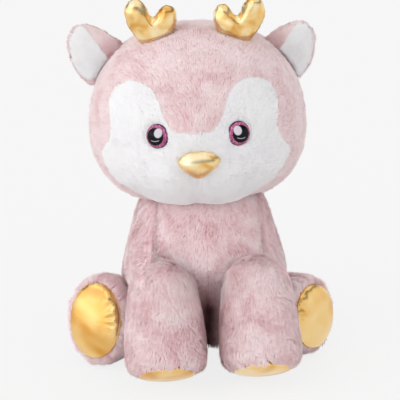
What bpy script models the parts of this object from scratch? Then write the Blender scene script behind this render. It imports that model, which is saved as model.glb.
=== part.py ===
"""A sitting plush deer: plush covers over stuffing, foil soles, nose and antlers, safety eyes.

Metres, +Z up. The origin is the middle of the flat seat, and the deer faces -Y.
"""

import math

import bmesh
import bpy
from mathutils import Matrix, Vector
from mathutils.bvhtree import BVHTree

# Sewing
PLUSH = 0.008  # backing and pile of the plush cover
GAP = 0.0003  # between pieces that touch
STUFFING_GAP = 0.0007  # between a cover and its stuffing
ROOT_GAP = 0.0006  # under an ear or an antler, which rocks on its seam
ROOT_ROCK = math.radians(12)  # each way
SEAT_PRESS = 0.0005  # how far the weight flattens what stands on the floor

# Torso
TORSO_WIDTH = 0.193
TORSO_DEPTH = 0.178
TORSO_HEIGHT = 0.175  # of the pear, up to the round shoulders
SHOULDER_RADIUS = 0.080
SHOULDER_HEIGHT = 0.140  # of the ball that the head turns on
BALL_SIDES = 28
SHOULDER_FORWARD = 0.006
SHOULDER_STEP = math.radians(30)
SHOULDER_STEPS = 3
PELLET_BAG_RADIUS = 0.036
PELLET_BAG_HEIGHT = 0.030
PELLET_BAG_LIFT = 0.004  # stuffing under the bag

# Neck
NECK_RADIUS = 0.028
NECK_DEPTH = 0.040  # how far the neck stuffing reaches into the torso
NOD_CLEARANCE = 0.015

# Head
HEAD_WIDTH = 0.242
HEAD_DEPTH = 0.206
HEAD_HEIGHT = 0.202
HEAD_RISE = 0.132  # from the shoulder ball's centre to the head's middle
HEAD_FORWARD = 0.002
HEAD_SIDE = -0.0015  # the stuffing lies a little to one side of the face
HEAD_TURN = math.radians(-3.7)
MUZZLE = 0.016
MUZZLE_REACH = 0.085
MUZZLE_DROP = 0.036  # below the head's middle

# Face
FACE_SIDE = -0.0045  # the white panel sits a little to the deer's right
FACE_BACK = 0.013  # how far in front of the head's middle it ends
EYE_SPACING = 0.0846
EYE_DROP = 0.0048
EYE_RADIUS = 0.0127
EYE_DOME = 0.008
EYE_STEM_RADIUS = 0.0025
EYE_STEM_LENGTH = 0.018
WASHER_RADIUS = 0.011
WASHER_THICKNESS = 0.0015
WASHER_CLEARANCE = 0.0028  # behind the cover, whose inside is curved
NOSE_WIDTH = 0.044
NOSE_HEIGHT = 0.030
NOSE_DEPTH = 0.015
NOSE_DROP = 0.034

# Ears
EAR_WIDTH = 0.064
EAR_HEIGHT = 0.059
EAR_THICKNESS = 0.015
EAR_ROOT = 0.014  # how far the outline runs on below the seam
EAR_BACK = 0.004
EAR_TILT = math.radians(42.4)
EAR_TURN = math.radians(12)
LINING_BACK = 0.0012  # how far the lining ends in front of the ear's mid-plane

# Antlers
ANTLER_WIDTH = 0.058
ANTLER_HEIGHT = 0.050
ANTLER_THICKNESS = 0.024
ANTLER_OUT = 0.047
ANTLER_FRONT = 0.034

# Legs
SOLE_WRAP = 0.024  # how far a sole's edge wraps up the foot

# Front legs
FRONT_LEG_LENGTH = 0.125
FRONT_LEG_WIDTH = 0.0925
FRONT_LEG_DEPTH = 0.088
FRONT_LEG_OUT = 0.050
FRONT_HINGE_HEIGHT = 0.123
FRONT_LEG_RISE = 0.005  # from the hinge to the top of the leg
FRONT_LEG_REACH = 0.012  # from the hinge to the leg's top, forwards
FRONT_LEG_LEAN = math.radians(29)
FRONT_SOLE_WIDTH = 0.064
FRONT_SOLE_DEPTH = 0.066

# Hind legs
HIND_LEG_LENGTH = 0.118
HIND_LEG_WIDTH = 0.085
HIND_LEG_HEIGHT = {"left": 0.099, "right": 0.106}
HIND_SOLE_WIDTH = 0.066
HIND_SOLE_HEIGHT = {"left": 0.080, "right": 0.087}
HIND_FOOT_OUT = {"left": 0.1185, "right": 0.126}
HIND_FOOT_FRONT = {"left": 0.070, "right": 0.064}
HIND_LEG_SPLAY = {"left": math.radians(45), "right": math.radians(31)}
HIND_LEG_PITCH = {"left": 0.0, "right": math.radians(11)}  # the toes point up
HIND_LEG_ROLL = {"left": math.radians(25), "right": 0.0}  # the oval's top leans in
HIND_LIFT = math.radians(25)  # the foot rises so far and still clears the front leg
HIND_CREASE_SHARE = 0.46  # of the leg's height, from its axis up to the hinge
HIND_WIDEST_SHARE = 0.82  # of the leg's length, where it lies on the floor

# Tail
TAIL_LENGTH = 0.048
TAIL_RADIUS = 0.016
TAIL_HEIGHT = 0.052
TAIL_LIFT = math.radians(50)
TAIL_ROOT_SHARE = 0.8  # of its radius, from its root to where it pivots

# Stations run from one end to the other: how far along, sideways shift, width and depth.
torso_shares = (
    (0.840, -0.032, 0.835, 0.900),
    (0.740, -0.032, 0.900, 0.955),
    (0.570, -0.020, 0.985, 0.995),
    (0.405, -0.008, 1.00, 1.00),
    (0.220, 0.000, 0.915, 0.935),
    (0.070, 0.004, 0.70, 0.71),
    (-0.003, 0.000, 0.37, 0.37),
    (-0.003, 0.000, 0.00, 0.00),
)
head_shares = (
    (1.00, 0.00, 0.00, 0.00),
    (0.94, 0.01, 0.40, 0.41),
    (0.76, 0.01, 0.69, 0.74),
    (0.47, 0.00, 0.88, 0.94),
    (0.15, -0.01, 0.98, 1.00),
    (-0.16, -0.01, 1.00, 1.00),
    (-0.45, -0.01, 0.975, 0.96),
    (-0.70, 0.00, 0.855, 0.86),
    (-0.90, 0.00, 0.665, 0.66),
    (-1.00, 0.00, 0.36, 0.36),
    (-1.00, 0.00, 0.00, 0.00),
)
front_leg_shares = (
    (0.00, 0.00, 0.00, 0.00),
    (0.05, 0.00, 0.60, 0.54),
    (0.22, 0.00, 0.87, 0.86),
    (0.80, 0.00, 1.00, 0.98),
    (0.96, 0.00, 0.97, 0.95),
    (1.00, 0.00, 0.70, 0.70),
    (1.00, 0.00, 0.00, 0.00),
)
hind_leg_shares = (
    (0.00, 0.00, 0.00, 0.00),
    (0.05, 0.00, 0.50, 0.48),
    (0.25, 0.00, 0.78, 0.78),
    (0.55, 0.00, 0.90, 0.92),
    (0.82, 0.00, 1.00, 1.00),
    (0.96, 0.00, 0.96, 0.97),
    (1.00, 0.00, 0.78, 0.80),
    (1.00, 0.00, 0.00, 0.00),
)
tail_shares = (
    (0.00, 0.00, 0.00, 0.00),
    (0.06, 0.00, 0.60, 0.60),
    (0.30, 0.00, 0.92, 0.92),
    (0.62, 0.00, 1.00, 1.00),
    (0.90, 0.00, 0.62, 0.62),
    (1.00, 0.00, 0.00, 0.00),
)
# Outlines run once round: across and up, as shares of the width and the height.
face_shares = (
    (0.065, -0.008), (0.100, 0.040), (0.122, 0.105), (0.146, 0.165), (0.185, 0.215), (0.245, 0.238),
    (0.305, 0.218), (0.350, 0.160), (0.363, 0.080), (0.354, -0.010), (0.372, -0.080), (0.408, -0.135),
    (0.409, -0.200), (0.376, -0.260), (0.330, -0.330), (0.255, -0.385), (0.190, -0.450), (0.150, -0.560),
)
nose_shares = (
    (0.00, 0.48), (0.26, 0.45), (0.44, 0.30), (0.52, 0.14), (0.42, -0.10), (0.24, -0.32), (0.09, -0.50),
)
ear_shares = (
    (-0.47, 0.00), (-0.43, 0.28), (-0.36, 0.58), (-0.25, 0.88), (-0.03, 1.02),
    (0.21, 0.94), (0.39, 0.74), (0.51, 0.49), (0.55, 0.22), (0.51, 0.00),
)
# The middle of each ear's seam, from the head's middle: out in its widths, up in its heights.
ear_root_shares = {"left": (0.3434, 0.2455), "right": (0.3878, 0.2641)}
lining_shares = (
    (-0.07, 0.05), (-0.13, 0.30), (-0.17, 0.60), (-0.17, 0.86), (-0.02, 0.94),
    (0.18, 0.85), (0.34, 0.66), (0.45, 0.42), (0.47, 0.18), (0.37, 0.05),
)
antler_shares = (
    (-0.38, 0.02), (-0.47, 0.26), (-0.49, 0.50), (-0.42, 0.66), (-0.28, 0.72), (-0.15, 0.61), (-0.03, 0.34),
    (0.05, 0.63), (0.15, 0.80), (0.29, 0.87), (0.43, 0.77), (0.50, 0.57), (0.45, 0.33), (0.32, 0.06),
    (0.15, -0.16), (-0.12, -0.16),
)
# A stuffed pad's edge, and how far each step of its crown draws in and rises.
rim_share = 0.30
corner_share = 0.5  # the least by which a sharp corner is held back when an outline grows
pad_crown_shares = ((0.16, 0.26), (0.22, 0.16))
fork_crown_shares = ((0.06, 0.20), (0.09, 0.14))
lift_shares = (0, 0.25, 0.5, 0.75, 1)  # of the hind foot's lift, where its cover is cut clear
SIDES = {"left": 1, "right": -1}


def remove_everything():
    for thing in list(bpy.data.objects):
        bpy.data.objects.remove(thing)


def new_collection(name):
    collection = bpy.data.collections.new(name)
    bpy.context.scene.collection.children.link(collection)
    return collection


def new_material(name, colour, roughness, metallic=0.0):
    material = bpy.data.materials.new(name)
    material.use_nodes = True
    shader = material.node_tree.nodes["Principled BSDF"]
    shader.inputs["Base Color"].default_value = (*colour, 1)
    shader.inputs["Roughness"].default_value = roughness
    shader.inputs["Metallic"].default_value = metallic
    material.diffuse_color = (*colour, 1)
    return material


def new_object(name, mesh, material=None):
    """A part of the deer where it has a material, and otherwise a cutter or a guide."""
    thing = bpy.data.objects.new(name, mesh)
    if material is None:
        cutters.objects.link(thing)
        thing.hide_render = True
        thing.display_type = "WIRE"
    else:
        parts.objects.link(thing)
        mesh.materials.clear()
        mesh.materials.append(material)
    return thing


def new_pivot(name, place, turn=None, parent=None):
    pivot = bpy.data.objects.new(name, None)
    parts.objects.link(pivot)
    pivot.parent = parent
    pivot.matrix_basis = Matrix.Translation(place) @ (turn or Matrix()).to_4x4()
    bpy.context.view_layer.update()
    return pivot


def add_modifier(thing, kind, **settings):
    modifier = thing.modifiers.new(kind.title(), kind)
    for key, value in settings.items():
        setattr(modifier, key, value)
    return modifier


def subdivide(thing, levels=1):
    add_modifier(thing, "SUBSURF", levels=levels, render_levels=levels)


def shrink(thing, inset):
    add_modifier(thing, "DISPLACE", strength=-inset, mid_level=0)


def cut(thing, *others):
    for other in others:
        add_modifier(thing, "BOOLEAN", operation="DIFFERENCE", object=other)


def keep(thing, other):
    add_modifier(thing, "BOOLEAN", operation="INTERSECT", object=other)


def smooth_shade(thing, degrees=45):
    thing.data.shade_smooth()
    thing.data.set_sharp_from_angle(angle=math.radians(degrees))


def drawn_in_by(step):
    """How much Subdivision Surface draws in a ring whose corners lie this angle apart."""
    return (2 + math.cos(step)) / 3


def swelling_mesh(name, shares, length, width, depth, sides):
    """A coarse cage along Z whose stations swell and taper, made from a sphere's rings."""
    drawn_in = drawn_in_by(2 * math.pi / sides)
    rings = len(shares) - 1
    cage = bmesh.new()
    bmesh.ops.create_uvsphere(cage, u_segments=sides, v_segments=rings, radius=1)
    for corner in cage.verts:
        ring = round(math.acos(max(-1, min(1, corner.co.z))) / math.pi * rings)
        along, shift, wide, deep = shares[ring]
        around = Vector((corner.co.x, corner.co.y))
        if 0 < ring < rings:
            around.normalize()
        else:
            around.zero()
        corner.co.x = around.x * wide * width / 2 / drawn_in
        corner.co.y = around.y * deep * depth / 2 / drawn_in + shift * depth
        corner.co.z = along * length
    bmesh.ops.recalc_face_normals(cage, faces=cage.faces)
    mesh = bpy.data.meshes.new(name)
    cage.to_mesh(mesh)
    cage.free()
    return mesh


def ball_mesh(name, radius):
    ball = bmesh.new()
    bmesh.ops.create_uvsphere(ball, u_segments=BALL_SIDES, v_segments=BALL_SIDES // 2, radius=radius)
    mesh = bpy.data.meshes.new(name)
    ball.to_mesh(mesh)
    ball.free()
    return mesh


def rod_mesh(name, radius, low, high, sides=24):
    rod = bmesh.new()
    bmesh.ops.create_cone(
        rod, cap_ends=True, segments=sides, radius1=radius, radius2=radius, depth=high - low
    )
    bmesh.ops.translate(rod, verts=rod.verts, vec=(0, 0, (high + low) / 2))
    mesh = bpy.data.meshes.new(name)
    rod.to_mesh(mesh)
    rod.free()
    return mesh


def draw_out(shape, outline, front, back):
    """Adds the outline in XZ as a plate from front to back."""
    face = shape.faces.new([shape.verts.new((x, front, z)) for x, z in outline])
    drawn = bmesh.ops.extrude_face_region(shape, geom=[face])["geom"]
    moved = [item for item in drawn if isinstance(item, bmesh.types.BMVert)]
    bmesh.ops.translate(shape, verts=moved, vec=(0, back - front, 0))
    bmesh.ops.recalc_face_normals(shape, faces=shape.faces)


def prism_mesh(name, outline, front, back):
    """The outline in XZ, drawn out along Y from front to back."""
    shape = bmesh.new()
    draw_out(shape, outline, front, back)
    mesh = bpy.data.meshes.new(name)
    shape.to_mesh(mesh)
    shape.free()
    return mesh


def cushion_mesh(name, outline, thickness, crown_shares=pad_crown_shares):
    """A stuffed pad: the outline in XZ, with both faces drawn in and raised in steps."""
    shape = bmesh.new()
    rim = thickness * rim_share
    draw_out(shape, outline, -rim / 2, rim / 2)
    across = [x for x, _ in outline]
    up = [z for _, z in outline]
    smaller = min(max(across) - min(across), max(up) - min(up))
    for flat in [face for face in shape.faces if len(face.verts) == len(outline)]:
        for inset_share, raise_share in crown_shares:
            bmesh.ops.inset_region(
                shape,
                faces=[flat],
                thickness=smaller * inset_share,
                depth=thickness * raise_share,
                use_boundary=True,
                use_even_offset=True,
            )
    mesh = bpy.data.meshes.new(name)
    shape.to_mesh(mesh)
    shape.free()
    return mesh


def scaled(shares, width, height, side=1):
    """The outline at its size. The deer's right has it mirrored."""
    return [(side * x * width, z * height) for x, z in shares]


def both_halves(half):
    """Adds the mirrored half of an outline that runs from the middle's top to its bottom."""
    return list(half) + [(-x, z) for x, z in reversed(half) if x]


def rounded(outline):
    """The closed outline with a point added on the curve between each two."""
    ring = [Vector(corner) for corner in outline]
    fuller = []
    for i, here in enumerate(ring):
        ahead = ring[(i + 1) % len(ring)]
        bend = here + ahead - ring[i - 1] - ring[(i + 2) % len(ring)]
        fuller += [tuple(here), tuple((here + ahead) / 2 + bend / 16)]
    return fuller


def grown(outline, by):
    """The outline with each corner moved outwards."""
    ring = [Vector(corner) for corner in outline]
    area = sum(a.x * b.y - b.x * a.y for a, b in zip(ring, ring[1:] + ring[:1]))
    turn = 1 if area > 0 else -1
    moved = []
    for i, corner in enumerate(ring):
        before = (corner - ring[i - 1]).normalized()
        after = (ring[(i + 1) % len(ring)] - corner).normalized()
        out = Vector((before.y + after.y, -before.x - after.x)) * turn
        lean = out.normalized().dot(Vector((before.y, -before.x)) * turn)
        moved.append(tuple(corner + out.normalized() * by / max(lean, corner_share)))
    return moved


def landing(form, start, direction):
    """Where a ray meets the form, or passes it the nearest, and the way that the form faces there."""
    bpy.context.view_layer.update()
    tree = BVHTree.FromObject(form, bpy.context.evaluated_depsgraph_get())
    home = form.matrix_world
    way = home.inverted().to_3x3() @ Vector(direction)
    begin = home.inverted() @ Vector(start)
    place, normal, _, _ = tree.ray_cast(begin, way)
    if place is None:
        place, normal, _, _ = tree.find_nearest(begin)
    return home @ place, (home.to_3x3() @ normal).normalized()


def facing(normal):
    """The turn that points local Z along the normal, with local X level."""
    across = Vector((0, 0, 1)).cross(normal).normalized()
    return Matrix((across, normal.cross(across), normal)).transposed()


remove_everything()
parts = new_collection("plush_deer")
cutters = new_collection("cutters")
pink_plush = new_material("pink_plush", (0.72, 0.47, 0.47), 0.95)
white_plush = new_material("white_plush", (0.90, 0.89, 0.90), 0.95)
gold_foil = new_material("gold_foil", (0.85, 0.60, 0.25), 0.25, 1.0)
stuffing = new_material("stuffing", (0.93, 0.93, 0.90), 0.9)
bag_cloth = new_material("bag_cloth", (0.80, 0.78, 0.72), 0.85)
eye_plastic = new_material("eye_plastic", (0.45, 0.07, 0.20), 0.08)
washer_plastic = new_material("washer_plastic", (0.90, 0.90, 0.90), 0.5)

# Floor that flattens the seat and the paws
floor_size = 4 * TORSO_WIDTH
floor_block = new_object(
    "floor_block",
    rod_mesh("floor_block", floor_size, -floor_size, 0, sides=4),
)

# Torso
neck_place = Vector((0, -SHOULDER_FORWARD, SHOULDER_HEIGHT))


def shoulder_shares():
    """Stations down the ball that the head turns on, as shares of the torso's sizes."""
    radius = SHOULDER_RADIUS / drawn_in_by(SHOULDER_STEP)
    for step in range(SHOULDER_STEPS):
        turn = SHOULDER_STEP * step
        height = SHOULDER_HEIGHT + radius * math.cos(turn)
        across = 2 * radius * math.sin(turn)
        forward = -SHOULDER_FORWARD / TORSO_DEPTH
        yield height / TORSO_HEIGHT, forward, across / TORSO_WIDTH, across / TORSO_DEPTH


def torso_form(name, inset=0.0, material=None):
    """The pear with its round shoulders, drawn in by the inset."""
    stations = (*shoulder_shares(), *torso_shares)
    mesh = swelling_mesh(name, stations, TORSO_HEIGHT, TORSO_WIDTH, TORSO_DEPTH, sides=12)
    form = new_object(name, mesh, material)
    subdivide(form)
    shrink(form, inset)
    return form


torso_envelope = torso_form("torso_envelope", -GAP)
torso_hollow = torso_form("torso_hollow", PLUSH)
neck_hole = new_object(
    "neck_hole", rod_mesh("neck_hole", NECK_RADIUS + GAP, 0, 2 * SHOULDER_RADIUS)
)
neck_hole.location = neck_place

torso_skin = torso_form("torso_skin", 0, pink_plush)
cut(torso_skin, torso_hollow, floor_block, neck_hole)

neck_bottom = SHOULDER_RADIUS - NECK_DEPTH
neck_pocket = new_object(
    "neck_pocket",
    rod_mesh("neck_pocket", NECK_RADIUS + GAP, neck_bottom - GAP, 2 * SHOULDER_RADIUS),
)
neck_pocket.location = neck_place
bag_floor = PLUSH + STUFFING_GAP + PELLET_BAG_LIFT
bag_pocket = new_object(
    "bag_pocket",
    rod_mesh("bag_pocket", PELLET_BAG_RADIUS + GAP, 0, bag_floor + PELLET_BAG_HEIGHT + GAP),
)
torso_filling = torso_form("torso_filling", PLUSH + STUFFING_GAP, stuffing)
cut(torso_filling, neck_pocket, bag_pocket)

pellet_bag = new_object(
    "pellet_bag",
    rod_mesh("pellet_bag", PELLET_BAG_RADIUS, bag_floor, bag_floor + PELLET_BAG_HEIGHT, sides=24),
    bag_cloth,
)
add_modifier(pellet_bag, "BEVEL", width=PELLET_BAG_HEIGHT / 3, segments=2)

# Neck
socket_radius = (SHOULDER_RADIUS + GAP) / math.cos(math.pi / BALL_SIDES) ** 2  # clear of its facets
neck_pivot = new_pivot("neck_pivot", neck_place)
neck_filling = new_object(
    "neck_filling",
    rod_mesh("neck_filling", NECK_RADIUS, neck_bottom, 2 * SHOULDER_RADIUS),
    stuffing,
)
neck_filling.parent = neck_pivot
neck_top = new_object("neck_top", ball_mesh("neck_top", SHOULDER_RADIUS + PLUSH))
neck_top.location = neck_place
keep(neck_filling, neck_top)

# Head
head_pivot = new_pivot("head_pivot", (0, 0, 0), Matrix.Rotation(HEAD_TURN, 3, "Z"), neck_pivot)
head_middle = Vector((0, -HEAD_FORWARD, HEAD_RISE))


def push_muzzle(mesh):
    tip = Vector((0, -HEAD_DEPTH / 2, -MUZZLE_DROP))
    for corner in mesh.vertices:
        near = max(0, 1 - (corner.co - tip).length / MUZZLE_REACH)
        corner.co.y -= MUZZLE * near * (2 - near)


def head_form(name, inset=0.0, material=None):
    """The round head with its muzzle, drawn in by the inset and hollowed for the shoulders."""
    mesh = swelling_mesh(name, head_shares, HEAD_HEIGHT / 2, HEAD_WIDTH, HEAD_DEPTH, sides=12)
    push_muzzle(mesh)
    form = new_object(name, mesh, material)
    form.parent = head_pivot
    form.location = head_middle + Vector((HEAD_SIDE, 0, 0))
    subdivide(form)
    shrink(form, inset)
    ball = new_object(name + "_socket", ball_mesh(name + "_socket", socket_radius + inset))
    ball.location = neck_place
    cut(form, ball)
    return form


def face_prism(name, by):
    """Cuts the white face panel out of the cover, in front of the head's middle."""
    outline = grown(rounded(both_halves(scaled(face_shares, HEAD_WIDTH, HEAD_HEIGHT))), by)
    prism = new_object(name, prism_mesh(name, outline, -HEAD_DEPTH, -FACE_BACK))
    prism.parent = head_pivot
    prism.location = head_middle + Vector((FACE_SIDE, 0, 0))
    return prism


head_envelope = head_form("head_envelope", -GAP)
head_hollow = head_form("head_hollow", PLUSH)
head_opening = new_object(
    "head_opening", rod_mesh("head_opening", NECK_RADIUS + NOD_CLEARANCE, 0, 2 * SHOULDER_RADIUS)
)
head_opening.location = neck_place
face_inside = face_prism("face_inside", 0)
face_outside = face_prism("face_outside", GAP)

head_skin = head_form("head_skin", 0, pink_plush)
cut(head_skin, face_outside, head_hollow, head_opening)
face_panel = head_form("face_panel", 0, white_plush)
keep(face_panel, face_inside)
cut(face_panel, head_hollow, head_opening)
head_filling = head_form("head_filling", PLUSH + STUFFING_GAP, stuffing)


def on_face(x, z):
    """A place on the front of the head, and the way that it faces."""
    start = head_pivot.matrix_world @ (head_middle + Vector((x, -HEAD_DEPTH, z)))
    way = head_pivot.matrix_world.to_3x3() @ Vector((0, 1, 0))
    return landing(head_envelope, start, way)


# Eyes
def eye_mesh(name, steps=5):
    """Half the outline of the dome and its stem, turned round Z."""
    turns = [math.pi / 2 * step / steps for step in range(steps + 1)]
    half = [(EYE_RADIUS * math.sin(turn), EYE_DOME * math.cos(turn)) for turn in turns]
    half += [(EYE_STEM_RADIUS, 0), (EYE_STEM_RADIUS, -EYE_STEM_LENGTH), (0, -EYE_STEM_LENGTH)]
    mesh = bpy.data.meshes.new(name)
    mesh.from_pydata([(x, 0, z) for x, z in half], [(i, i + 1) for i in range(len(half) - 1)], [])
    return mesh


def turned(thing, steps=20):
    merging = {"use_merge_vertices": True, "merge_threshold": GAP / 30}
    add_modifier(thing, "SCREW", steps=steps, render_steps=steps, **merging)


def washer_mesh(name):
    inner, low = EYE_STEM_RADIUS + GAP, -WASHER_THICKNESS
    ring = [(WASHER_RADIUS, 0), (WASHER_RADIUS, low), (inner, low), (inner, 0)]
    mesh = bpy.data.meshes.new(name)
    mesh.from_pydata([(x, 0, z) for x, z in ring], [(i, (i + 1) % 4) for i in range(4)], [])
    return mesh


for label, side in SIDES.items():
    place, normal = on_face(side * EYE_SPACING / 2, -EYE_DROP)
    eye_frame = Matrix.Translation(place) @ facing(normal).to_4x4()
    eye = new_object("eye_" + label, eye_mesh("eye"), eye_plastic)
    eye.matrix_world = eye_frame
    turned(eye)
    washer_seat = PLUSH + WASHER_CLEARANCE
    washer = new_object("eye_washer_" + label, washer_mesh("eye_washer"), washer_plastic)
    washer.matrix_world = eye_frame @ Matrix.Translation((0, 0, -washer_seat))
    turned(washer)
    eye_bore = new_object(
        "eye_bore_" + label,
        rod_mesh("eye_bore", EYE_STEM_RADIUS + GAP, -2 * PLUSH, EYE_DOME, sides=20),
    )
    eye_bore.matrix_world = eye_frame
    cut(face_panel, eye_bore)
    pocket_depth = EYE_STEM_LENGTH + GAP
    eye_pocket = new_object(
        "eye_pocket_" + label,
        rod_mesh("eye_pocket", WASHER_RADIUS + GAP, -pocket_depth, EYE_DOME, sides=20),
    )
    eye_pocket.matrix_world = eye_frame
    cut(head_filling, eye_pocket)
    for thing in (eye, washer):
        thing.parent = head_pivot
        thing.matrix_parent_inverse = head_pivot.matrix_world.inverted()
        smooth_shade(thing)

# Nose
nose_place, nose_normal = on_face(0, -NOSE_DROP)
nose = new_object(
    "nose",
    cushion_mesh("nose", both_halves(scaled(nose_shares, NOSE_WIDTH, NOSE_HEIGHT)), NOSE_DEPTH),
    gold_foil,
)
nose.parent = head_pivot
nose.matrix_parent_inverse = head_pivot.matrix_world.inverted()
upright = facing(nose_normal) @ Matrix.Rotation(-math.pi / 2, 3, "X")
nose.matrix_world = Matrix.Translation(nose_place) @ upright.to_4x4()
subdivide(nose)
cut(nose, head_envelope)

def cut_root(thing, pivot):
    """Cuts a rocking piece clear of the head, at rest and at both ends of its rock about the pivot's X."""
    for rock in (0, -ROOT_ROCK, ROOT_ROCK):
        cutter = new_object("root_cutter", head_envelope.data.copy())
        subdivide(cutter)
        shrink(cutter, -GAP if rock else -ROOT_GAP)
        home = pivot.matrix_world
        turn = home @ Matrix.Rotation(rock, 4, "X") @ home.inverted()
        cutter.matrix_world = turn @ head_envelope.matrix_world
        cut(thing, cutter)


# Ears
for label, side in SIDES.items():
    out_share, up_share = ear_root_shares[label]
    root = Vector((side * out_share * HEAD_WIDTH, EAR_BACK, up_share * HEAD_HEIGHT)) + head_middle
    lean = Matrix.Rotation(side * EAR_TILT, 3, "Y") @ Matrix.Rotation(side * EAR_TURN, 3, "Z")
    ear_pivot = new_pivot("ear_pivot_" + label, root, lean, head_pivot)
    outline = scaled(ear_shares, EAR_WIDTH, EAR_HEIGHT, side)
    outline = [(x, z if z else -EAR_ROOT) for x, z in outline]
    ear_mesh = cushion_mesh("ear_skin_" + label, outline, EAR_THICKNESS)
    ear_skin = new_object("ear_skin_" + label, ear_mesh, pink_plush)
    ear_lining = new_object("ear_lining_" + label, ear_mesh.copy(), white_plush)
    lining_outline = rounded(scaled(lining_shares, EAR_WIDTH, EAR_HEIGHT, side))
    lining_inside = new_object(
        "lining_inside_" + label,
        prism_mesh("lining_inside", lining_outline, -EAR_WIDTH, -LINING_BACK - GAP),
    )
    lining_outside = new_object(
        "lining_outside_" + label,
        prism_mesh("lining_outside", grown(lining_outline, GAP), -EAR_WIDTH, -LINING_BACK),
    )
    for thing in (ear_skin, ear_lining, lining_inside, lining_outside):
        thing.parent = ear_pivot
    for thing in (ear_skin, ear_lining):
        subdivide(thing)
        cut_root(thing, ear_pivot)
    cut(ear_skin, lining_outside)
    keep(ear_lining, lining_inside)

# Antlers
for label, side in SIDES.items():
    above = head_middle + Vector((side * ANTLER_OUT, -ANTLER_FRONT, HEAD_HEIGHT))
    place, _ = landing(
        head_envelope, head_pivot.matrix_world @ above, (0, 0, -1)
    )
    antler_pivot = new_pivot(
        "antler_pivot_" + label, head_pivot.matrix_world.inverted() @ place, None, head_pivot
    )
    outline = scaled(antler_shares, ANTLER_WIDTH, ANTLER_HEIGHT, side)
    antler = new_object(
        "antler_" + label,
        cushion_mesh("antler_" + label, outline, ANTLER_THICKNESS, fork_crown_shares),
        gold_foil,
    )
    antler.parent = antler_pivot
    subdivide(antler)
    cut_root(antler, antler_pivot)


# Legs
def leg_form(name, shares, length, width, depth, home, inset=0.0, material=None, sides=10):
    """A leg along local -Z from its root, drawn in by the inset."""
    mesh = swelling_mesh(name, shares, -length, width, depth, sides)
    form = new_object(name, mesh, material)
    form.parent = home
    subdivide(form)
    shrink(form, inset)
    return form


def sole_cutter(name, width, depth, home, length, by):
    """An oval rod round the leg's end."""
    rod = rod_mesh(name, 1, -length - PLUSH, -length + SOLE_WRAP, sides=20)
    for corner in rod.vertices:
        corner.co.x *= width / 2 + by
        corner.co.y *= depth / 2 + by
    cutter = new_object(name, rod)
    cutter.parent = home
    return cutter


def moved_copy(form, matrix):
    """A copy of the form with its modifiers, standing where the matrix puts it."""
    copied = form.copy()
    for collection in form.users_collection:
        collection.objects.link(copied)
    copied.parent = None
    copied.matrix_world = matrix
    return copied


def add_leg(label, shares, length, width, depth, sole_size, home, others):
    """Cover, stuffing and sole of one leg, cut by the torso, the floor and the others given."""
    shape = (shares, length, width, depth, home)
    hollow = leg_form(label + "_hollow", *shape, PLUSH)
    sole_in = sole_cutter(label + "_sole_in", *sole_size, home, length, 0)
    sole_out = sole_cutter(label + "_sole_out", *sole_size, home, length, GAP)
    skin = leg_form(label.replace("leg", "leg_skin"), *shape, 0, pink_plush)
    cut(skin, hollow, sole_out, torso_envelope, floor_block, *others)
    filling = leg_form(
        label.replace("leg", "leg_filling"), *shape, PLUSH + STUFFING_GAP, stuffing, sides=8
    )
    cut(filling, torso_envelope, *others)
    sole = leg_form(label.replace("leg", "sole"), *shape, 0, gold_foil)
    cut(sole, hollow, floor_block)
    keep(sole, sole_in)


# Front legs
front_envelopes = {}
for label, side in SIDES.items():
    crease, _ = landing(
        torso_envelope,
        (side * FRONT_LEG_OUT, -TORSO_DEPTH, FRONT_HINGE_HEIGHT),
        (0, 1, 0),
    )
    hinge = new_pivot("front_leg_hinge_" + label, crease)
    leg_home = new_pivot(
        "front_leg_home_" + label,
        (0, -FRONT_LEG_REACH, FRONT_LEG_RISE),
        Matrix.Rotation(-FRONT_LEG_LEAN, 3, "X"),
        hinge,
    )
    add_leg(
        "front_leg_" + label,
        front_leg_shares,
        FRONT_LEG_LENGTH,
        FRONT_LEG_WIDTH,
        FRONT_LEG_DEPTH,
        (FRONT_SOLE_WIDTH, FRONT_SOLE_DEPTH),
        leg_home,
        (),
    )
    front_envelopes[label] = leg_form(
        "front_leg_envelope_" + label,
        front_leg_shares,
        FRONT_LEG_LENGTH,
        FRONT_LEG_WIDTH,
        FRONT_LEG_DEPTH,
        leg_home,
        -GAP,
    )

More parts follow.
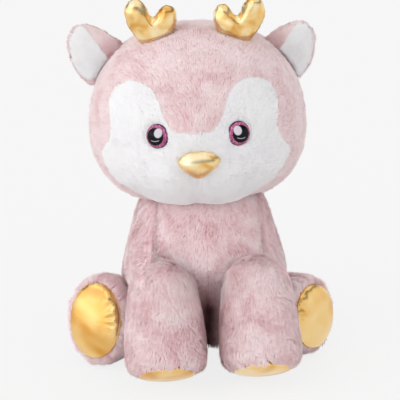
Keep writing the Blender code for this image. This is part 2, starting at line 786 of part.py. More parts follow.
# Hind legs, which give way to the front ones
for label, side in SIDES.items():
    splay = HIND_LEG_SPLAY[label]
    ahead = Vector((side * math.sin(splay), -math.cos(splay), 0))
    pitch = HIND_LEG_PITCH[label]
    lifted = HIND_LEG_LENGTH * (1 - HIND_WIDEST_SHARE) * math.sin(pitch)
    foot_height = HIND_LEG_HEIGHT[label] / 2 * math.cos(pitch) + lifted - SEAT_PRESS
    foot = Vector((side * HIND_FOOT_OUT[label], -HIND_FOOT_FRONT[label], foot_height))
    top = foot + Vector((0, 0, HIND_LEG_HEIGHT[label] * HIND_CREASE_SHARE))
    crease, _ = landing(torso_envelope, top, -ahead)
    hinge = new_pivot("hind_leg_hinge_" + label, crease, facing(ahead))
    leg_home = new_pivot("hind_leg_home_" + label, (0, 0, 0), None, hinge)
    along = ahead * math.cos(pitch) + Vector((0, 0, math.sin(pitch)))
    rolled = facing(-along) @ Matrix.Rotation(-side * HIND_LEG_ROLL[label], 3, "Z")
    leg_home.matrix_world = Matrix.Translation(foot - along * HIND_LEG_LENGTH) @ rolled.to_4x4()
    bpy.context.view_layer.update()
    front = front_envelopes[label]
    lifts = [
        Matrix.Translation(crease)
        @ Matrix.Rotation(-share * HIND_LIFT, 4, ahead.cross((0, 0, 1)))
        @ Matrix.Translation(-crease)
        for share in lift_shares
    ]
    add_leg(
        "hind_leg_" + label,
        hind_leg_shares,
        HIND_LEG_LENGTH,
        HIND_LEG_WIDTH,
        HIND_LEG_HEIGHT[label],
        (HIND_SOLE_WIDTH, HIND_SOLE_HEIGHT[label]),
        leg_home,
        [moved_copy(front, lift @ front.matrix_world) for lift in lifts],
    )

# Tail
tail_seat, _ = landing(torso_envelope, (0, TORSO_DEPTH, TAIL_HEIGHT), (0, -1, 0))
tail_ball = TAIL_RADIUS * TAIL_ROOT_SHARE
tail_pivot = new_pivot(
    "tail_pivot", tail_seat + Vector((0, tail_ball + GAP, 0)), Matrix.Rotation(-TAIL_LIFT, 3, "X")
)
tail_mesh = swelling_mesh("tail", tail_shares, TAIL_LENGTH, 2 * TAIL_RADIUS, 2 * TAIL_RADIUS, sides=10)
tail = new_object("tail", tail_mesh, pink_plush)
tail.parent = tail_pivot
tail.location = (0, 0, -tail_ball)
subdivide(tail)
cut(tail, torso_envelope)

for thing in parts.objects:
    if thing.type == "MESH":
        smooth_shade(thing)
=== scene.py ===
"""A sitting plush deer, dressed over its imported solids: pile, padded foil, eyes and seams.

Everything is in metres, in the solids' own frame: the seat's middle is the origin, +Z is up and the deer faces -Y.
Its own left is +X, so the piece called left is on the right of the picture.
"""

import math

import bpy
import numpy as np
from mathutils import Matrix, Vector
from mathutils.bvhtree import BVHTree


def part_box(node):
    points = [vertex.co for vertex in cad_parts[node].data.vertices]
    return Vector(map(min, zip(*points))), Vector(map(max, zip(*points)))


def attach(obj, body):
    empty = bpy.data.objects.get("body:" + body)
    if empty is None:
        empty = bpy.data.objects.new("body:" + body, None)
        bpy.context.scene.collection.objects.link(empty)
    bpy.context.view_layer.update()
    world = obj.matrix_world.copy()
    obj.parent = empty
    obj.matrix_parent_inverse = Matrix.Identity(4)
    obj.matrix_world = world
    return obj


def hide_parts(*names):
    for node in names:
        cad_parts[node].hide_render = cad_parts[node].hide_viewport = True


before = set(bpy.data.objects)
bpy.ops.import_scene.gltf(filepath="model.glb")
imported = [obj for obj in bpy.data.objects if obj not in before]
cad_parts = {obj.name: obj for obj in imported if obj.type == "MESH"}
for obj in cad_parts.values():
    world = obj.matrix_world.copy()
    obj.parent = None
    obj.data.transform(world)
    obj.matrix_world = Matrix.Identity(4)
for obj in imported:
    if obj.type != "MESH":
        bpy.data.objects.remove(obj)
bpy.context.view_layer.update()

# The floor, the lights and the camera.
# A wide pale floor carries the deer, and it keeps a faint shadow. A white sky, brighter in front, and one broad sun
# light it evenly. Foil and eyes see the same sky with a dark band in it, as between a lamp and a pale table.
# The camera stands 1.5 m away, a little above and to the picture's left, and is rolled 2 degrees.
FLOOR_WIDTH = 60.0
FLOOR_DROP = 0.0004
FLOOR_SHADE = "F7F7F7"
FLOOR_GLOW = 0.88
SKY_LOW, SKY_HIGH = 1.04, 0.82
SKY_FRONT = 0.30
MIRRORED_SKY = ((0.00, 1.05), (0.28, 0.92), (0.41, 0.22), (0.57, 0.22), (0.70, 1.10), (1.00, 1.40))
SUN_STRENGTH = 1.18
SUN_SPREAD = math.radians(80)
SUN_PLACE = (-2.1, -1.4, 0.85)
CAMERA_PLACE = (-1.5 * math.sin(math.radians(3)), -0.01 - 1.5 * math.cos(math.radians(3)), 0.55)
CAMERA_AIM = (0, -0.01, 0.19)
CAMERA_ROLL = math.radians(-2.0)
CAMERA_LENS = 124.7
CAMERA_SHIFT = (-0.00325, -0.0385)


def linear(code):
    """A colour written as sRGB hex, as linear red, green, blue and alpha."""
    parts = [int(code[i : i + 2], 16) / 255 for i in (0, 2, 4)]
    return (*[c / 12.92 if c <= 0.04045 else ((c + 0.055) / 1.055) ** 2.4 for c in parts], 1)


def add_node(tree, kind, settings=None, **links):
    """A new node with its settings. A link's name is an input's name, with _ for a space, or its number after a _."""
    made = tree.nodes.new(kind)
    for key, value in (settings or {}).items():
        if isinstance(key, int) or key in made.inputs:
            made.inputs[key].default_value = value
        else:
            setattr(made, key, value)
    for key, source in links.items():
        place = int(key[1:]) if key[1:].isdigit() else key.replace("_", " ")
        tree.links.new(source, made.inputs[place])
    return made


def new_material(name):
    """A material with an empty node tree."""
    made = bpy.data.materials.new(name)
    made.use_nodes = True
    made.node_tree.nodes.clear()
    return made, made.node_tree


def give_material(thing, material):
    thing.data.materials.clear()
    thing.data.materials.append(material)


bpy.ops.object.select_all(action="DESELECT")
bpy.ops.mesh.primitive_plane_add(size=FLOOR_WIDTH, location=(0, 0, -FLOOR_DROP))
floor = bpy.context.object
floor.name = "pale_floor"
floor_paper, tree = new_material("matt_white_paper")
path = add_node(tree, "ShaderNodeLightPath")
sheet_of_paper = add_node(tree, "ShaderNodeBsdfDiffuse", {"Color": linear("F2F2F2")})
glow = add_node(tree, "ShaderNodeEmission", {"Color": linear(FLOOR_SHADE)})
seen = add_node(tree, "ShaderNodeMath", {"operation": "MAXIMUM"})
tree.links.new(path.outputs["Is Camera Ray"], seen.inputs[0])
tree.links.new(path.outputs["Is Glossy Ray"], seen.inputs[1])
share = add_node(tree, "ShaderNodeMath", {"operation": "MULTIPLY", 1: FLOOR_GLOW}, _0=seen.outputs[0])
mixed = add_node(
    tree, "ShaderNodeMixShader", None, _0=share.outputs[0], _1=sheet_of_paper.outputs[0], _2=glow.outputs[0]
)
add_node(tree, "ShaderNodeOutputMaterial", None, Surface=mixed.outputs[0])
give_material(floor, floor_paper)

sky = bpy.context.scene.world or bpy.data.worlds.new("white_sky")
bpy.context.scene.world = sky
sky.use_nodes = True
tree = sky.node_tree
tree.nodes.clear()
path = add_node(tree, "ShaderNodeLightPath")
seen = add_node(tree, "ShaderNodeMath", {"operation": "MAXIMUM"})
tree.links.new(path.outputs["Is Camera Ray"], seen.inputs[0])
tree.links.new(path.outputs["Is Transmission Ray"], seen.inputs[1])
way = add_node(tree, "ShaderNodeSeparateXYZ", None, Vector=add_node(tree, "ShaderNodeTexCoord").outputs["Generated"])
fall = add_node(
    tree, "ShaderNodeMapRange", {"From Min": -0.05, "From Max": 0.75, "To Min": SKY_LOW, "To Max": SKY_HIGH},
    Value=way.outputs["Z"],
)
front = add_node(
    tree, "ShaderNodeMapRange", {"From Min": 1, "From Max": -1, "To Min": 1 - SKY_FRONT, "To Max": 1 + SKY_FRONT},
    Value=way.outputs["Y"],
)
even = add_node(tree, "ShaderNodeMath", {"operation": "MULTIPLY"}, _0=fall.outputs[0], _1=front.outputs[0])
bands = add_node(tree, "ShaderNodeValToRGB", None, Fac=way.outputs["Z"])
for place, strength in MIRRORED_SKY:
    bands.color_ramp.elements.new(place).color = (strength, strength, strength, 1)
bands.color_ramp.elements.remove(bands.color_ramp.elements[0])
bands.color_ramp.elements.remove(bands.color_ramp.elements[-1])
strength = add_node(
    tree, "ShaderNodeMix", {"data_type": "FLOAT"},
    _0=path.outputs["Is Glossy Ray"], _2=even.outputs[0], _3=bands.outputs[0],
)
plain = add_node(tree, "ShaderNodeBackground", {"Color": (1, 1, 1, 1)}, Strength=strength.outputs[0])
backdrop = add_node(tree, "ShaderNodeBackground", {"Color": linear(FLOOR_SHADE), "Strength": 1.0})
mixed = add_node(tree, "ShaderNodeMixShader", None, _0=seen.outputs[0], _1=plain.outputs[0], _2=backdrop.outputs[0])
add_node(tree, "ShaderNodeOutputWorld", None, Surface=mixed.outputs[0])

bpy.ops.object.light_add(type="SUN", location=SUN_PLACE)
sun = bpy.context.object
sun.name = "broad_sun"
sun.data.energy = SUN_STRENGTH
sun.data.angle = SUN_SPREAD
sun.rotation_euler = (-Vector(SUN_PLACE)).to_track_quat("-Z", "Y").to_euler()

bpy.ops.object.camera_add(location=CAMERA_PLACE)
camera = bpy.context.object
camera.name = "picture_camera"
gaze = (Vector(CAMERA_AIM) - Vector(CAMERA_PLACE)).to_track_quat("-Z", "Y").to_matrix()
camera.rotation_euler = (gaze @ Matrix.Rotation(CAMERA_ROLL, 3, "Z")).to_euler()
camera.data.sensor_width = 36
camera.data.lens = CAMERA_LENS
camera.data.shift_x, camera.data.shift_y = CAMERA_SHIFT
bpy.context.scene.camera = camera
bpy.context.scene.view_settings.view_transform = "Standard"

# The torso.
# One pear-shaped cover of long-pile rose plush over polyester stuffing, with a pellet bag in the seat. The cover is
# knitted with a brushed pile 7 mm long, which lies down the body and parts where the stuffing creases it.
TORSO_SWELL = 0.0060
TORSO_VOXEL = 0.005
SWOLLEN_FIRST = 0.92
STUFFING_PRESSURE = 4.0
SETTLING_FRAMES, SETTLING_SHARE = 12, 0.25
PILE_LENGTH = 0.0068
PILE_WIDTH = 0.00062
PILE_DENSITY = 1.6e6
MOST_STRANDS = 98000
PARTING_SPACING, PARTING_WIDTH, PARTING_PULL = 0.10, 0.10, 2.2
CURL_SPACING, TUFT_SPACING, LENGTH_SPACING, SHADE_SPACING = 0.034, 0.009, 0.012, 0.035
STRAND_SCATTER, STRAND_ROLL, STRAND_ROOT = 0.16, 0.22, 0.0008
# The torso's pile and the legs' are one plush in lit and shaded copies: the torso's is painted lighter, against the
# head's shade on it, and the legs' darker.
ROSE_LIGHT = "FBEBEC"
ROSE_MIDDLE = "F5DCDE"
ROSE_DEEP = "EBC8CB"
LEG_LIGHT = "F5E2E3"
LEG_MIDDLE = "EFD3D5"
LEG_DEEP = "E5BEC2"
# The redder ground that shows at a parting; it is also the colour of the painted shade in creases and at the ears'
# roots.
ROSE_SHADE = "B9757C"
# The near-black red painted as the shadow in the crevice between the front legs.
CREVICE_PAINTED_SHADOW = "512B2D"


def wave_field(points, length, seed, rows=3):
    """A smooth random value, or three, at each point, which changes over about this length. About -1 to 1."""
    chance = np.random.default_rng(seed)
    total = np.zeros((len(points), rows))
    for _ in range(10):
        turn = chance.normal(size=(3, rows))
        turn *= (2 * math.pi / length) * chance.uniform(0.6, 1.4, rows) / np.linalg.norm(turn, axis=0)
        total += np.sin(points @ turn + chance.uniform(0, 2 * math.pi, rows))
    return total / 3.2


def numbers(items, key, width, kind=np.float32):
    """A mesh's values as rows of an array."""
    found = np.empty(len(items) * width, kind)
    items.foreach_get(key, found)
    return found.reshape(-1, width)


def unit(rows):
    return rows / np.maximum(np.linalg.norm(rows, axis=1, keepdims=True), 1e-9)


def rising(values, start, band):
    """0 up to the start, 1 past the band that begins there."""
    return np.clip((values - start) / band, 0, 1)


def falling(values, end, band):
    """1 up to the band that ends here, 0 past its end."""
    return np.clip((end - values) / band, 0, 1)


def bell(values, width):
    """1 where the value is 0, and less and less over this width on both sides of it."""
    return np.exp(-((values / width) ** 2))


def surface_of(*names):
    """A search tree over the faces of these CAD nodes."""
    corners, faces = [], []
    for name in names:
        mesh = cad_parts[name].data
        start = len(corners)
        corners += [tuple(v.co) for v in mesh.vertices]
        faces += [tuple(start + i for i in face.vertices) for face in mesh.polygons]
    return BVHTree.FromPolygons(corners, faces)


def how_far(surface, points):
    return np.array([surface.find_nearest(Vector(p))[3] for p in points])


def copy_of(name, *nodes):
    """One new mesh object with the faces of these CAD nodes, their doubles merged."""
    copies = []
    bpy.ops.object.select_all(action="DESELECT")
    for node in nodes:
        copied = bpy.data.objects.new(name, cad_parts[node].data.copy())
        bpy.context.scene.collection.objects.link(copied)
        copied.select_set(True)
        copies.append(copied)
    bpy.context.view_layer.objects.active = copies[0]
    if len(copies) > 1:
        bpy.ops.object.join()
    made = bpy.context.view_layer.objects.active
    made.name = made.data.name = name
    bpy.ops.object.mode_set(mode="EDIT")
    bpy.ops.mesh.select_all(action="SELECT")
    bpy.ops.mesh.remove_doubles(threshold=0.00002)
    bpy.ops.object.mode_set(mode="OBJECT")
    return made


def finish_modifier(thing, kind, **settings):
    """Adds a modifier and applies it."""
    made = thing.modifiers.new(kind.lower(), kind)
    for key, value in settings.items():
        setattr(made, key, value)
    bpy.context.view_layer.objects.active = thing
    bpy.ops.object.modifier_apply(modifier=made.name)


def move_points(thing, points):
    thing.data.vertices.foreach_set("co", np.asarray(points, np.float32).ravel())
    thing.data.update()


def evenly_out(thing, points, distance):
    """The points moved out of the surface by this distance."""
    return points + numbers(thing.data.vertices, "normal", 3) * distance


def stuffed(name, nodes, voxel, swell, smooth=4, levels=1):
    """A padded piece: the nodes' own shape in an even net, swollen, and then settled as cloth under pressure.

    The cloth may move a point by a share of the swell at most, so that it can't sink into the solids."""
    made = copy_of(name, *nodes)
    finish_modifier(made, "REMESH", mode="VOXEL", voxel_size=voxel)
    finish_modifier(made, "SMOOTH", factor=0.5, iterations=smooth)
    start = evenly_out(made, numbers(made.data.vertices, "co", 3), SWOLLEN_FIRST * swell)
    move_points(made, start)
    cloth = made.modifiers.new("cloth", "CLOTH")
    cloth.settings.quality = 4
    cloth.settings.mass = 0.15
    cloth.settings.tension_stiffness = 6
    cloth.settings.compression_stiffness = 6
    cloth.settings.shear_stiffness = 3
    cloth.settings.bending_stiffness = 0.2
    cloth.settings.use_pressure = True
    cloth.settings.uniform_pressure_force = STUFFING_PRESSURE
    cloth.settings.effector_weights.gravity = 0
    cloth.collision_settings.use_collision = False
    cloth.point_cache.frame_start = 1
    cloth.point_cache.frame_end = SETTLING_FRAMES
    for number in range(1, SETTLING_FRAMES + 1):
        bpy.context.scene.frame_set(number)
    blown = made.evaluated_get(bpy.context.evaluated_depsgraph_get())
    moved = numbers(blown.data.vertices, "co", 3) - start
    made.modifiers.remove(cloth)
    bpy.context.scene.frame_set(1)
    far = np.linalg.norm(moved, axis=1, keepdims=True)
    move_points(made, start + moved * np.minimum(1, SETTLING_SHARE * swell / np.maximum(far, 1e-9)))
    if levels:
        finish_modifier(made, "SUBSURF", levels=levels, render_levels=levels)
    made.data.polygons.foreach_set("use_smooth", [True] * len(made.data.polygons))
    return made


def stay_above_floor(points, height=0.0006):
    points[:, 2] = np.maximum(points[:, 2], height)
    return points


def soft_normals(mesh, skin_normals, soft):
    """Each strand shaded mostly as the skin under it is, because real fibres scatter light among themselves."""
    return unit(numbers(mesh.vertices, "normal", 3) * (1 - soft) + skin_normals * soft)


def pile(name, skin, comb, density=PILE_DENSITY, length=PILE_LENGTH, lean=(56, 80), seed=1, keep=None,
         tufts=0.10, curls=0.30, parting=0.22, shorten=None, parting_and_painted_shade=None, soft=0.92):
    """Brushed pile on a skin: each strand is a narrow leaf of two faces, rooted in the skin and bent over.

    comb gives the way that the pile lies at each root, and keep says which roots have pile. One more function, given
    last, says how dark the painted shade is at each root, where a crease, the crevice between the front legs or an
    ear's root would shade it."""
    chance = np.random.default_rng(seed)
    mesh = skin.data
    mesh.calc_loop_triangles()
    corner = numbers(mesh.loop_triangles, "vertices", 3, np.int32)
    place, out = numbers(mesh.vertices, "co", 3), numbers(mesh.vertices, "normal", 3)
    sides = np.cross(place[corner[:, 1]] - place[corner[:, 0]], place[corner[:, 2]] - place[corner[:, 0]])
    area = np.linalg.norm(sides, axis=1) / 2
    count = int(area.sum() * density)
    picked = chance.choice(len(area), count, p=area / area.sum())
    share = chance.uniform(size=(count, 2))
    share[share.sum(1) > 1] = 1 - share[share.sum(1) > 1]
    weight = np.column_stack([1 - share.sum(1), share])[:, :, None]
    root = (place[corner[picked]] * weight).sum(1)
    normal = unit((out[corner[picked]] * weight).sum(1))
    if keep is not None:
        kept = keep(root)
        root, normal = root[kept], normal[kept]
    root, normal = root[:MOST_STRANDS], normal[:MOST_STRANDS]
    count = len(root)
    flow = comb(root, normal)
    flow = unit(flow - normal * (flow * normal).sum(1, keepdims=True))
    valley = wave_field(root, PARTING_SPACING, seed + 40, 1)
    step = 0.002
    slope = np.column_stack(
        [wave_field(root + step * axis, PARTING_SPACING, seed + 40, 1) - valley for axis in np.eye(3)]
    )
    slope = unit(slope - normal * (slope * normal).sum(1, keepdims=True))
    parted = bell(valley, PARTING_WIDTH)
    flow += parting * PARTING_PULL * np.sign(valley) * slope * parted
    flow += curls * wave_field(root, CURL_SPACING, seed + 1) + tufts * wave_field(root, TUFT_SPACING, seed + 2)
    flow += STRAND_SCATTER * chance.normal(size=(count, 3))
    flow = unit(flow - normal * (flow * normal).sum(1, keepdims=True))
    low, high = (math.radians(turn) + 0.10 * chance.normal(size=(count, 1)) for turn in lean)
    first = normal * np.cos(low) + flow * np.sin(low)
    second = normal * np.cos(high) + flow * np.sin(high)
    tall = length * chance.uniform(0.72, 1.12, (count, 1))
    tall = tall * (1 + 0.14 * wave_field(root, LENGTH_SPACING, seed + 3, 1))
    if shorten is not None:
        tall = tall * shorten(root)[:, None]
    side = unit(np.cross(first, normal))
    roll = STRAND_ROLL * chance.normal(size=(count, 1))
    side = side * np.cos(roll) + np.cross(first, side) * np.sin(roll)
    side = side * PILE_WIDTH * chance.uniform(0.7, 1.25, (count, 1)) / 2
    middle = root + first * tall * 0.5
    tip = middle + second * tall * 0.55
    points = np.stack([root - normal * STRAND_ROOT, middle + side, middle - side, tip], 1).reshape(-1, 3)
    points = stay_above_floor(points)
    corner = (np.arange(count)[:, None] * 4 + np.array([0, 1, 2, 1, 3, 2])).ravel()
    face = np.cross(points[corner[1::3]] - points[corner[::3]], points[corner[2::3]] - points[corner[::3]])
    if (face * np.repeat(normal, 2, 0)).sum() < 0:
        corner = corner.reshape(-1, 3)[:, ::-1].ravel()
    made = bpy.data.meshes.new(name)
    made.vertices.add(len(points))
    made.vertices.foreach_set("co", points.astype(np.float32).ravel())
    made.loops.add(len(corner))
    made.loops.foreach_set("vertex_index", corner.astype(np.int32))
    made.polygons.add(count * 2)
    made.polygons.foreach_set("loop_start", np.arange(0, count * 6, 3, dtype=np.int32))
    made.polygons.foreach_set("use_smooth", np.ones(count * 2, bool))
    made.update(calc_edges=True)
    made.normals_split_custom_set_from_vertices(soft_normals(made, np.repeat(normal, 4, 0), soft))
    across = math.ceil(math.sqrt(count))
    cell = np.stack([np.arange(count) % across, np.arange(count) // across], 1)[corner // 4]
    spot = np.array([[0.1, 0.1], [0.9, 0.1], [0.1, 0.9], [0.9, 0.9]])[corner % 4]
    made.uv_layers.new(name="OFBake").uv.foreach_set("vector", ((cell + spot) / across).astype(np.float32).ravel())
    # Redder ground shows through the partings; the caller's painted shade is laid over it.
    shade = parting * parted[:, 0] ** 4 * np.clip(2 * wave_field(root, SHADE_SPACING, seed + 5, 1)[:, 0], 0, 1)
    if parting_and_painted_shade is not None:
        shade = np.maximum(shade, parting_and_painted_shade(root))
    set_shade(made, np.repeat(shade, 4))
    grown = bpy.data.objects.new(name, made)
    bpy.context.scene.collection.objects.link(grown)
    return grown


def set_shade(mesh, values):
    """Writes, at each vertex from 0 to 1, how far the redder ground shows through a parting, or how dark the painted
    shade is there.
    """
    mesh.attributes.new("parting_and_painted_shade", "FLOAT", "POINT").data.foreach_set("value", np.asarray(values, np.float32))


def plush(name, light, middle, deep, shade=ROSE_SHADE, patch=0.030):
    """Brushed polyester pile. It gives the eye a soft matt colour, deeper between the tufts, in broad faint patches
    where the pile lies another way, redder where the ground shows through at a parting, and a pale bloom on edges.
    The same mark carries painted shade, which goes on to a near-black red where it is darkest."""
    made, tree = new_material(name)
    where = add_node(tree, "ShaderNodeTexCoord").outputs["Object"]
    patches = add_node(
        tree, "ShaderNodeTexNoise", {"Scale": 1 / patch, "Detail": 3.0, "Roughness": 0.55, "Distortion": 0.6},
        Vector=where,
    )
    tufts = add_node(tree, "ShaderNodeTexNoise", {"Scale": 1 / 0.0045, "Detail": 2.0, "Roughness": 0.6}, Vector=where)
    both = add_node(
        tree, "ShaderNodeMix", {"data_type": "FLOAT", "Factor": 0.26}, _2=patches.outputs[0], _3=tufts.outputs[0]
    )
    colours = add_node(tree, "ShaderNodeValToRGB", None, Fac=both.outputs[0])
    ramp = colours.color_ramp
    ramp.elements[0].position, ramp.elements[0].color = 0.36, linear(deep)
    ramp.elements[1].position, ramp.elements[1].color = 0.62, linear(light)
    ramp.elements.new(0.48).color = linear(middle)
    # The redder ground at partings, and painted shade: the shade colour, then a near-black red painted as the
    # crevice's shadow.
    thin = add_node(tree, "ShaderNodeAttribute", {"attribute_name": "parting_and_painted_shade"})
    depth = add_node(tree, "ShaderNodeValToRGB", None, Fac=thin.outputs["Fac"])
    depth.color_ramp.elements[0].position, depth.color_ramp.elements[0].color = 0.6, linear(shade)
    depth.color_ramp.elements[1].position, depth.color_ramp.elements[1].color = 1.0, linear(CREVICE_PAINTED_SHADOW)
    tinted = add_node(
        tree, "ShaderNodeMix", {"data_type": "RGBA"},
        _0=thin.outputs["Fac"], _6=colours.outputs[0], _7=depth.outputs[0],
    )
    shader = add_node(
        tree, "ShaderNodeBsdfPrincipled",
        {"Roughness": 0.92, "Sheen Weight": 0.25, "Sheen Roughness": 0.5, "Specular IOR Level": 0.2},
        Base_Color=tinted.outputs[2],
    )
    add_node(tree, "ShaderNodeOutputMaterial", None, Surface=shader.outputs[0])
    return made


def ride_padded(piece, body, slot, fill, *nodes):
    """Puts a padded piece on its body, in place of its solids."""
    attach(piece, body)
    if nodes:
        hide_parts(*nodes)


def downwards(root, normal):
    """Pile that lies down, and a little away from the middle of the front."""
    return np.column_stack([0.25 * np.sign(root[:, 0]) * np.ones(len(root)), 0 * root[:, 1], -np.ones(len(root))])


def closed_over(nodes, reach):
    """A search tree over these nodes' joint outside, with every fold narrower than twice the reach filled in."""
    guide = copy_of("fold_guide", *nodes)
    finish_modifier(guide, "REMESH", mode="VOXEL", voxel_size=0.004)
    finish_modifier(guide, "DISPLACE", strength=reach, mid_level=0)
    finish_modifier(guide, "REMESH", mode="VOXEL", voxel_size=0.0045)
    finish_modifier(guide, "DISPLACE", strength=-reach, mid_level=0)
    finish_modifier(guide, "SMOOTH", factor=0.5, iterations=8)
    found = BVHTree.FromObject(guide, bpy.context.evaluated_depsgraph_get())
    bpy.data.objects.remove(guide)
    return found


def fill_folds(thing):
    """Brings the skin out to a small depth under its side's guide, in the folds above the front legs."""
    points = numbers(thing.data.vertices, "co", 3).astype(float)
    high = rising(points[:, 2], *FOLD_LOW)
    ahead = falling(points[:, 1], *FOLD_BACK)
    out = rising(np.abs(points[:, 0]), *FOLD_INNER)
    for i in np.nonzero(high * ahead * out > 0.01)[0]:
        near, normal, _, _ = fold_guides[points[i, 0] > 0].find_nearest(Vector(points[i]))
        inside = (near - Vector(points[i])).dot(normal)
        if 0 < inside - FOLD_DEPTH < FOLD_MOST:
            points[i] += np.array(normal) * (inside - FOLD_DEPTH) * high[i] * ahead[i] * out[i]
    move_points(thing, points)


def apart_from(points, path):
    """How far each point is from a line of places on the front, seen from the front."""
    best = np.full(len(points), 1.0)
    flat = points[:, [0, 2]]
    for start, end in zip(np.array(path[:-1]), np.array(path[1:])):
        share = np.clip(((flat - start) @ (end - start)) / ((end - start) @ (end - start)), 0, 1)
        best = np.minimum(best, np.linalg.norm(flat - start - share[:, None] * (end - start), axis=1))
    return np.where(points[:, 1] < -0.02, best, 1.0)


def seams_at(points):
    """How near each point is to a front seam or crease, from 0 to 1."""
    return np.max([bell(apart_from(points, path), SEAM_WIDTH) for path in TORSO_SEAMS], axis=0)


def shoulder_over_leg(thing):
    """Brings the shoulder on the picture's left down over its leg in one slope, where the cover runs on uncreased."""
    points = numbers(thing.data.vertices, "co", 3).astype(float)
    aside, high = -points[:, 0], points[:, 2]
    slope = np.clip((SHOULDER_TOP - high) / SHOULDER_FALL, 0, SHOULDER_MOST) ** SHOULDER_CURVE
    slope = slope * rising(high, *SHOULDER_FOOT)
    inside = rising(aside, *SHOULDER_INNER)
    inside = inside**2 * (3 - 2 * inside) * falling(aside, *SHOULDER_OUTER)
    ahead = falling(points[:, 1], *SHOULDER_BACK)
    reach = SHOULDER_REACH + SHOULDER_FLARE * np.clip(aside - FLARE_FROM, 0, FLARE_BAND)
    points[:, 1] -= reach * slope * inside * ahead
    move_points(thing, points)


def press_torso(thing):
    """Draws in the front seams, and the belly between the front legs."""
    points = numbers(thing.data.vertices, "co", 3).astype(float)
    out = numbers(thing.data.vertices, "normal", 3).astype(float)
    points -= out * (SEAM_DEPTH * seams_at(points))[:, None]
    between = bell(points[:, 0], BELLY_WIDTH) * falling(points[:, 1], *BELLY_BACK)
    points[:, 1] += BELLY_DEPTH * falling(points[:, 2], *BELLY_TOP) * between
    move_points(thing, points)


def between_legs(points):
    """How deep each point lies in the crevice between the front legs, from 0 to 1; the pile there is painted dark as
    the crevice's shadow.
    """
    low = falling(points[:, 2], *CREVICE_TOP)
    return low * bell(points[:, 0], CREVICE_WIDTH) * rising(points[:, 1], *CREVICE_FRONT)


# Each pair in brackets is where a fall begins or ends, and how wide it is.
FOLD_REACH = {True: 0.020, False: 0.044}
FOLD_LOW, FOLD_BACK, FOLD_INNER = (0.088, 0.030), (-0.03, 0.02), (0.030, 0.025)
FOLD_DEPTH, FOLD_MOST = 0.0024, 0.030
SHOULDER_TOP, SHOULDER_REACH, SHOULDER_FALL = 0.160, 0.044, 0.034
SHOULDER_MOST, SHOULDER_CURVE = 1.2, 1.3
SHOULDER_FOOT, SHOULDER_BACK = (0.086, 0.020), (0.010, 0.030)
SHOULDER_INNER, SHOULDER_OUTER = (0.042, 0.026), (0.093, 0.014)
SHOULDER_FLARE, FLARE_FROM, FLARE_BAND = 0.7, 0.060, 0.03
# The front seams are drawn in, and the pile along them is painted darker as shade in the creases.
SEAM_WIDTH, SEAM_DEPTH, SEAM_PAINTED_SHADE = 0.0040, 0.0024, 0.28
BELLY_DEPTH, BELLY_WIDTH, BELLY_TOP, BELLY_BACK = 0.026, 0.020, (0.115, 0.070), (-0.03, 0.03)
# Where the painted shadow of the crevice between the front legs falls.
CREVICE_WIDTH, CREVICE_TOP, CREVICE_FRONT = 0.015, (0.112, 0.045), (-0.165, 0.03)
TORSO_SEAMS = (
    ((-0.049, 0.190), (-0.053, 0.163), (-0.055, 0.136), (-0.040, 0.125)),
    ((0.057, 0.185), (0.062, 0.147), (0.062, 0.127)),
)
fold_guides = {
    on_left: closed_over(
        [part + side for part in ("front_leg_skin_", "front_leg_filling_") for side in ("left", "right")]
        + ["torso_skin", "torso_filling"],
        reach,
    )
    for on_left, reach in FOLD_REACH.items()
}
rose_ground = plush("rose_plush_ground", ROSE_MIDDLE, ROSE_DEEP, "D3A4AA")
# The torso's pile is painted lighter than the legs', as a lit copy of the same plush.
lighter_rose_pile = plush("rose_plush_pile", ROSE_LIGHT, ROSE_MIDDLE, ROSE_DEEP)
darker_leg_pile = plush("darker_rose_plush_pile_of_the_legs", LEG_LIGHT, LEG_MIDDLE, LEG_DEEP)


# Painted shade on the torso: darker along the front seams and creases, and darkest in the crevice between the front
# legs.
def torso_painted_shade(root):
    return np.maximum(SEAM_PAINTED_SHADE * seams_at(root), between_legs(root))


torso = stuffed("torso_padded", ["torso_filling"], TORSO_VOXEL, TORSO_SWELL)
move_points(torso, stay_above_floor(numbers(torso.data.vertices, "co", 3), 0.003))
fill_folds(torso)
shoulder_over_leg(torso)
finish_modifier(torso, "SMOOTH", factor=0.5, iterations=8)
press_torso(torso)
set_shade(torso.data, torso_painted_shade(numbers(torso.data.vertices, "co", 3)))
give_material(torso, rose_ground)
ride_padded(torso, "torso", "pink_plush", 0.8, "torso_skin", "torso_filling", "pellet_bag")
torso_pile = pile("torso_pile", torso, downwards, seed=11, curls=0.22, parting=0.12, parting_and_painted_shade=torso_painted_shade)
give_material(torso_pile, lighter_rose_pile)
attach(torso_pile, "torso")

# The neck.
# A short plug of polyester stuffing between the shoulders and the head.
stuffing = plush("polyester_stuffing", "F8F7F5", "EFEDEA", "DEDCD8", patch=0.012)
neck = stuffed("neck_padded", ["neck_filling"], voxel=0.003, swell=0.0005, levels=0)
give_material(neck, stuffing)
ride_padded(neck, "neck", "stuffing", 0.7, "neck_filling")

# The head.
# A broad ball of the same plush, with shorter pile that is brushed back from the face. The front is cut out for the
# white face, which the pink pile overlaps a little along the seam.
HEAD_SWELL = 0.0078
HEAD_MIDDLE = np.array([0, -0.008, 0.272])
HEAD_PILE = 0.0062
MUZZLE_TOP_BAND, MUZZLE_BACK = 0.012, (-0.06, 0.02)
PUFF_LIFT, PUFF_ASIDE, PUFF_WIDTH = 0.0030, 0.030, 0.020
VALLEY_DEPTH, VALLEY_WIDTH = 0.0024, 0.0075
BRIDGE_LIFT, BRIDGE_ASIDE, BRIDGE_WIDTH = 0.0052, 0.0145, 0.0075
FRONT_AT, FRONT_BAND = -0.035, 0.02
BLUSH_LIGHT = "F6E5E6"
BLUSH_MIDDLE = "F1DCDD"
BLUSH_DEEP = "EACCCE"

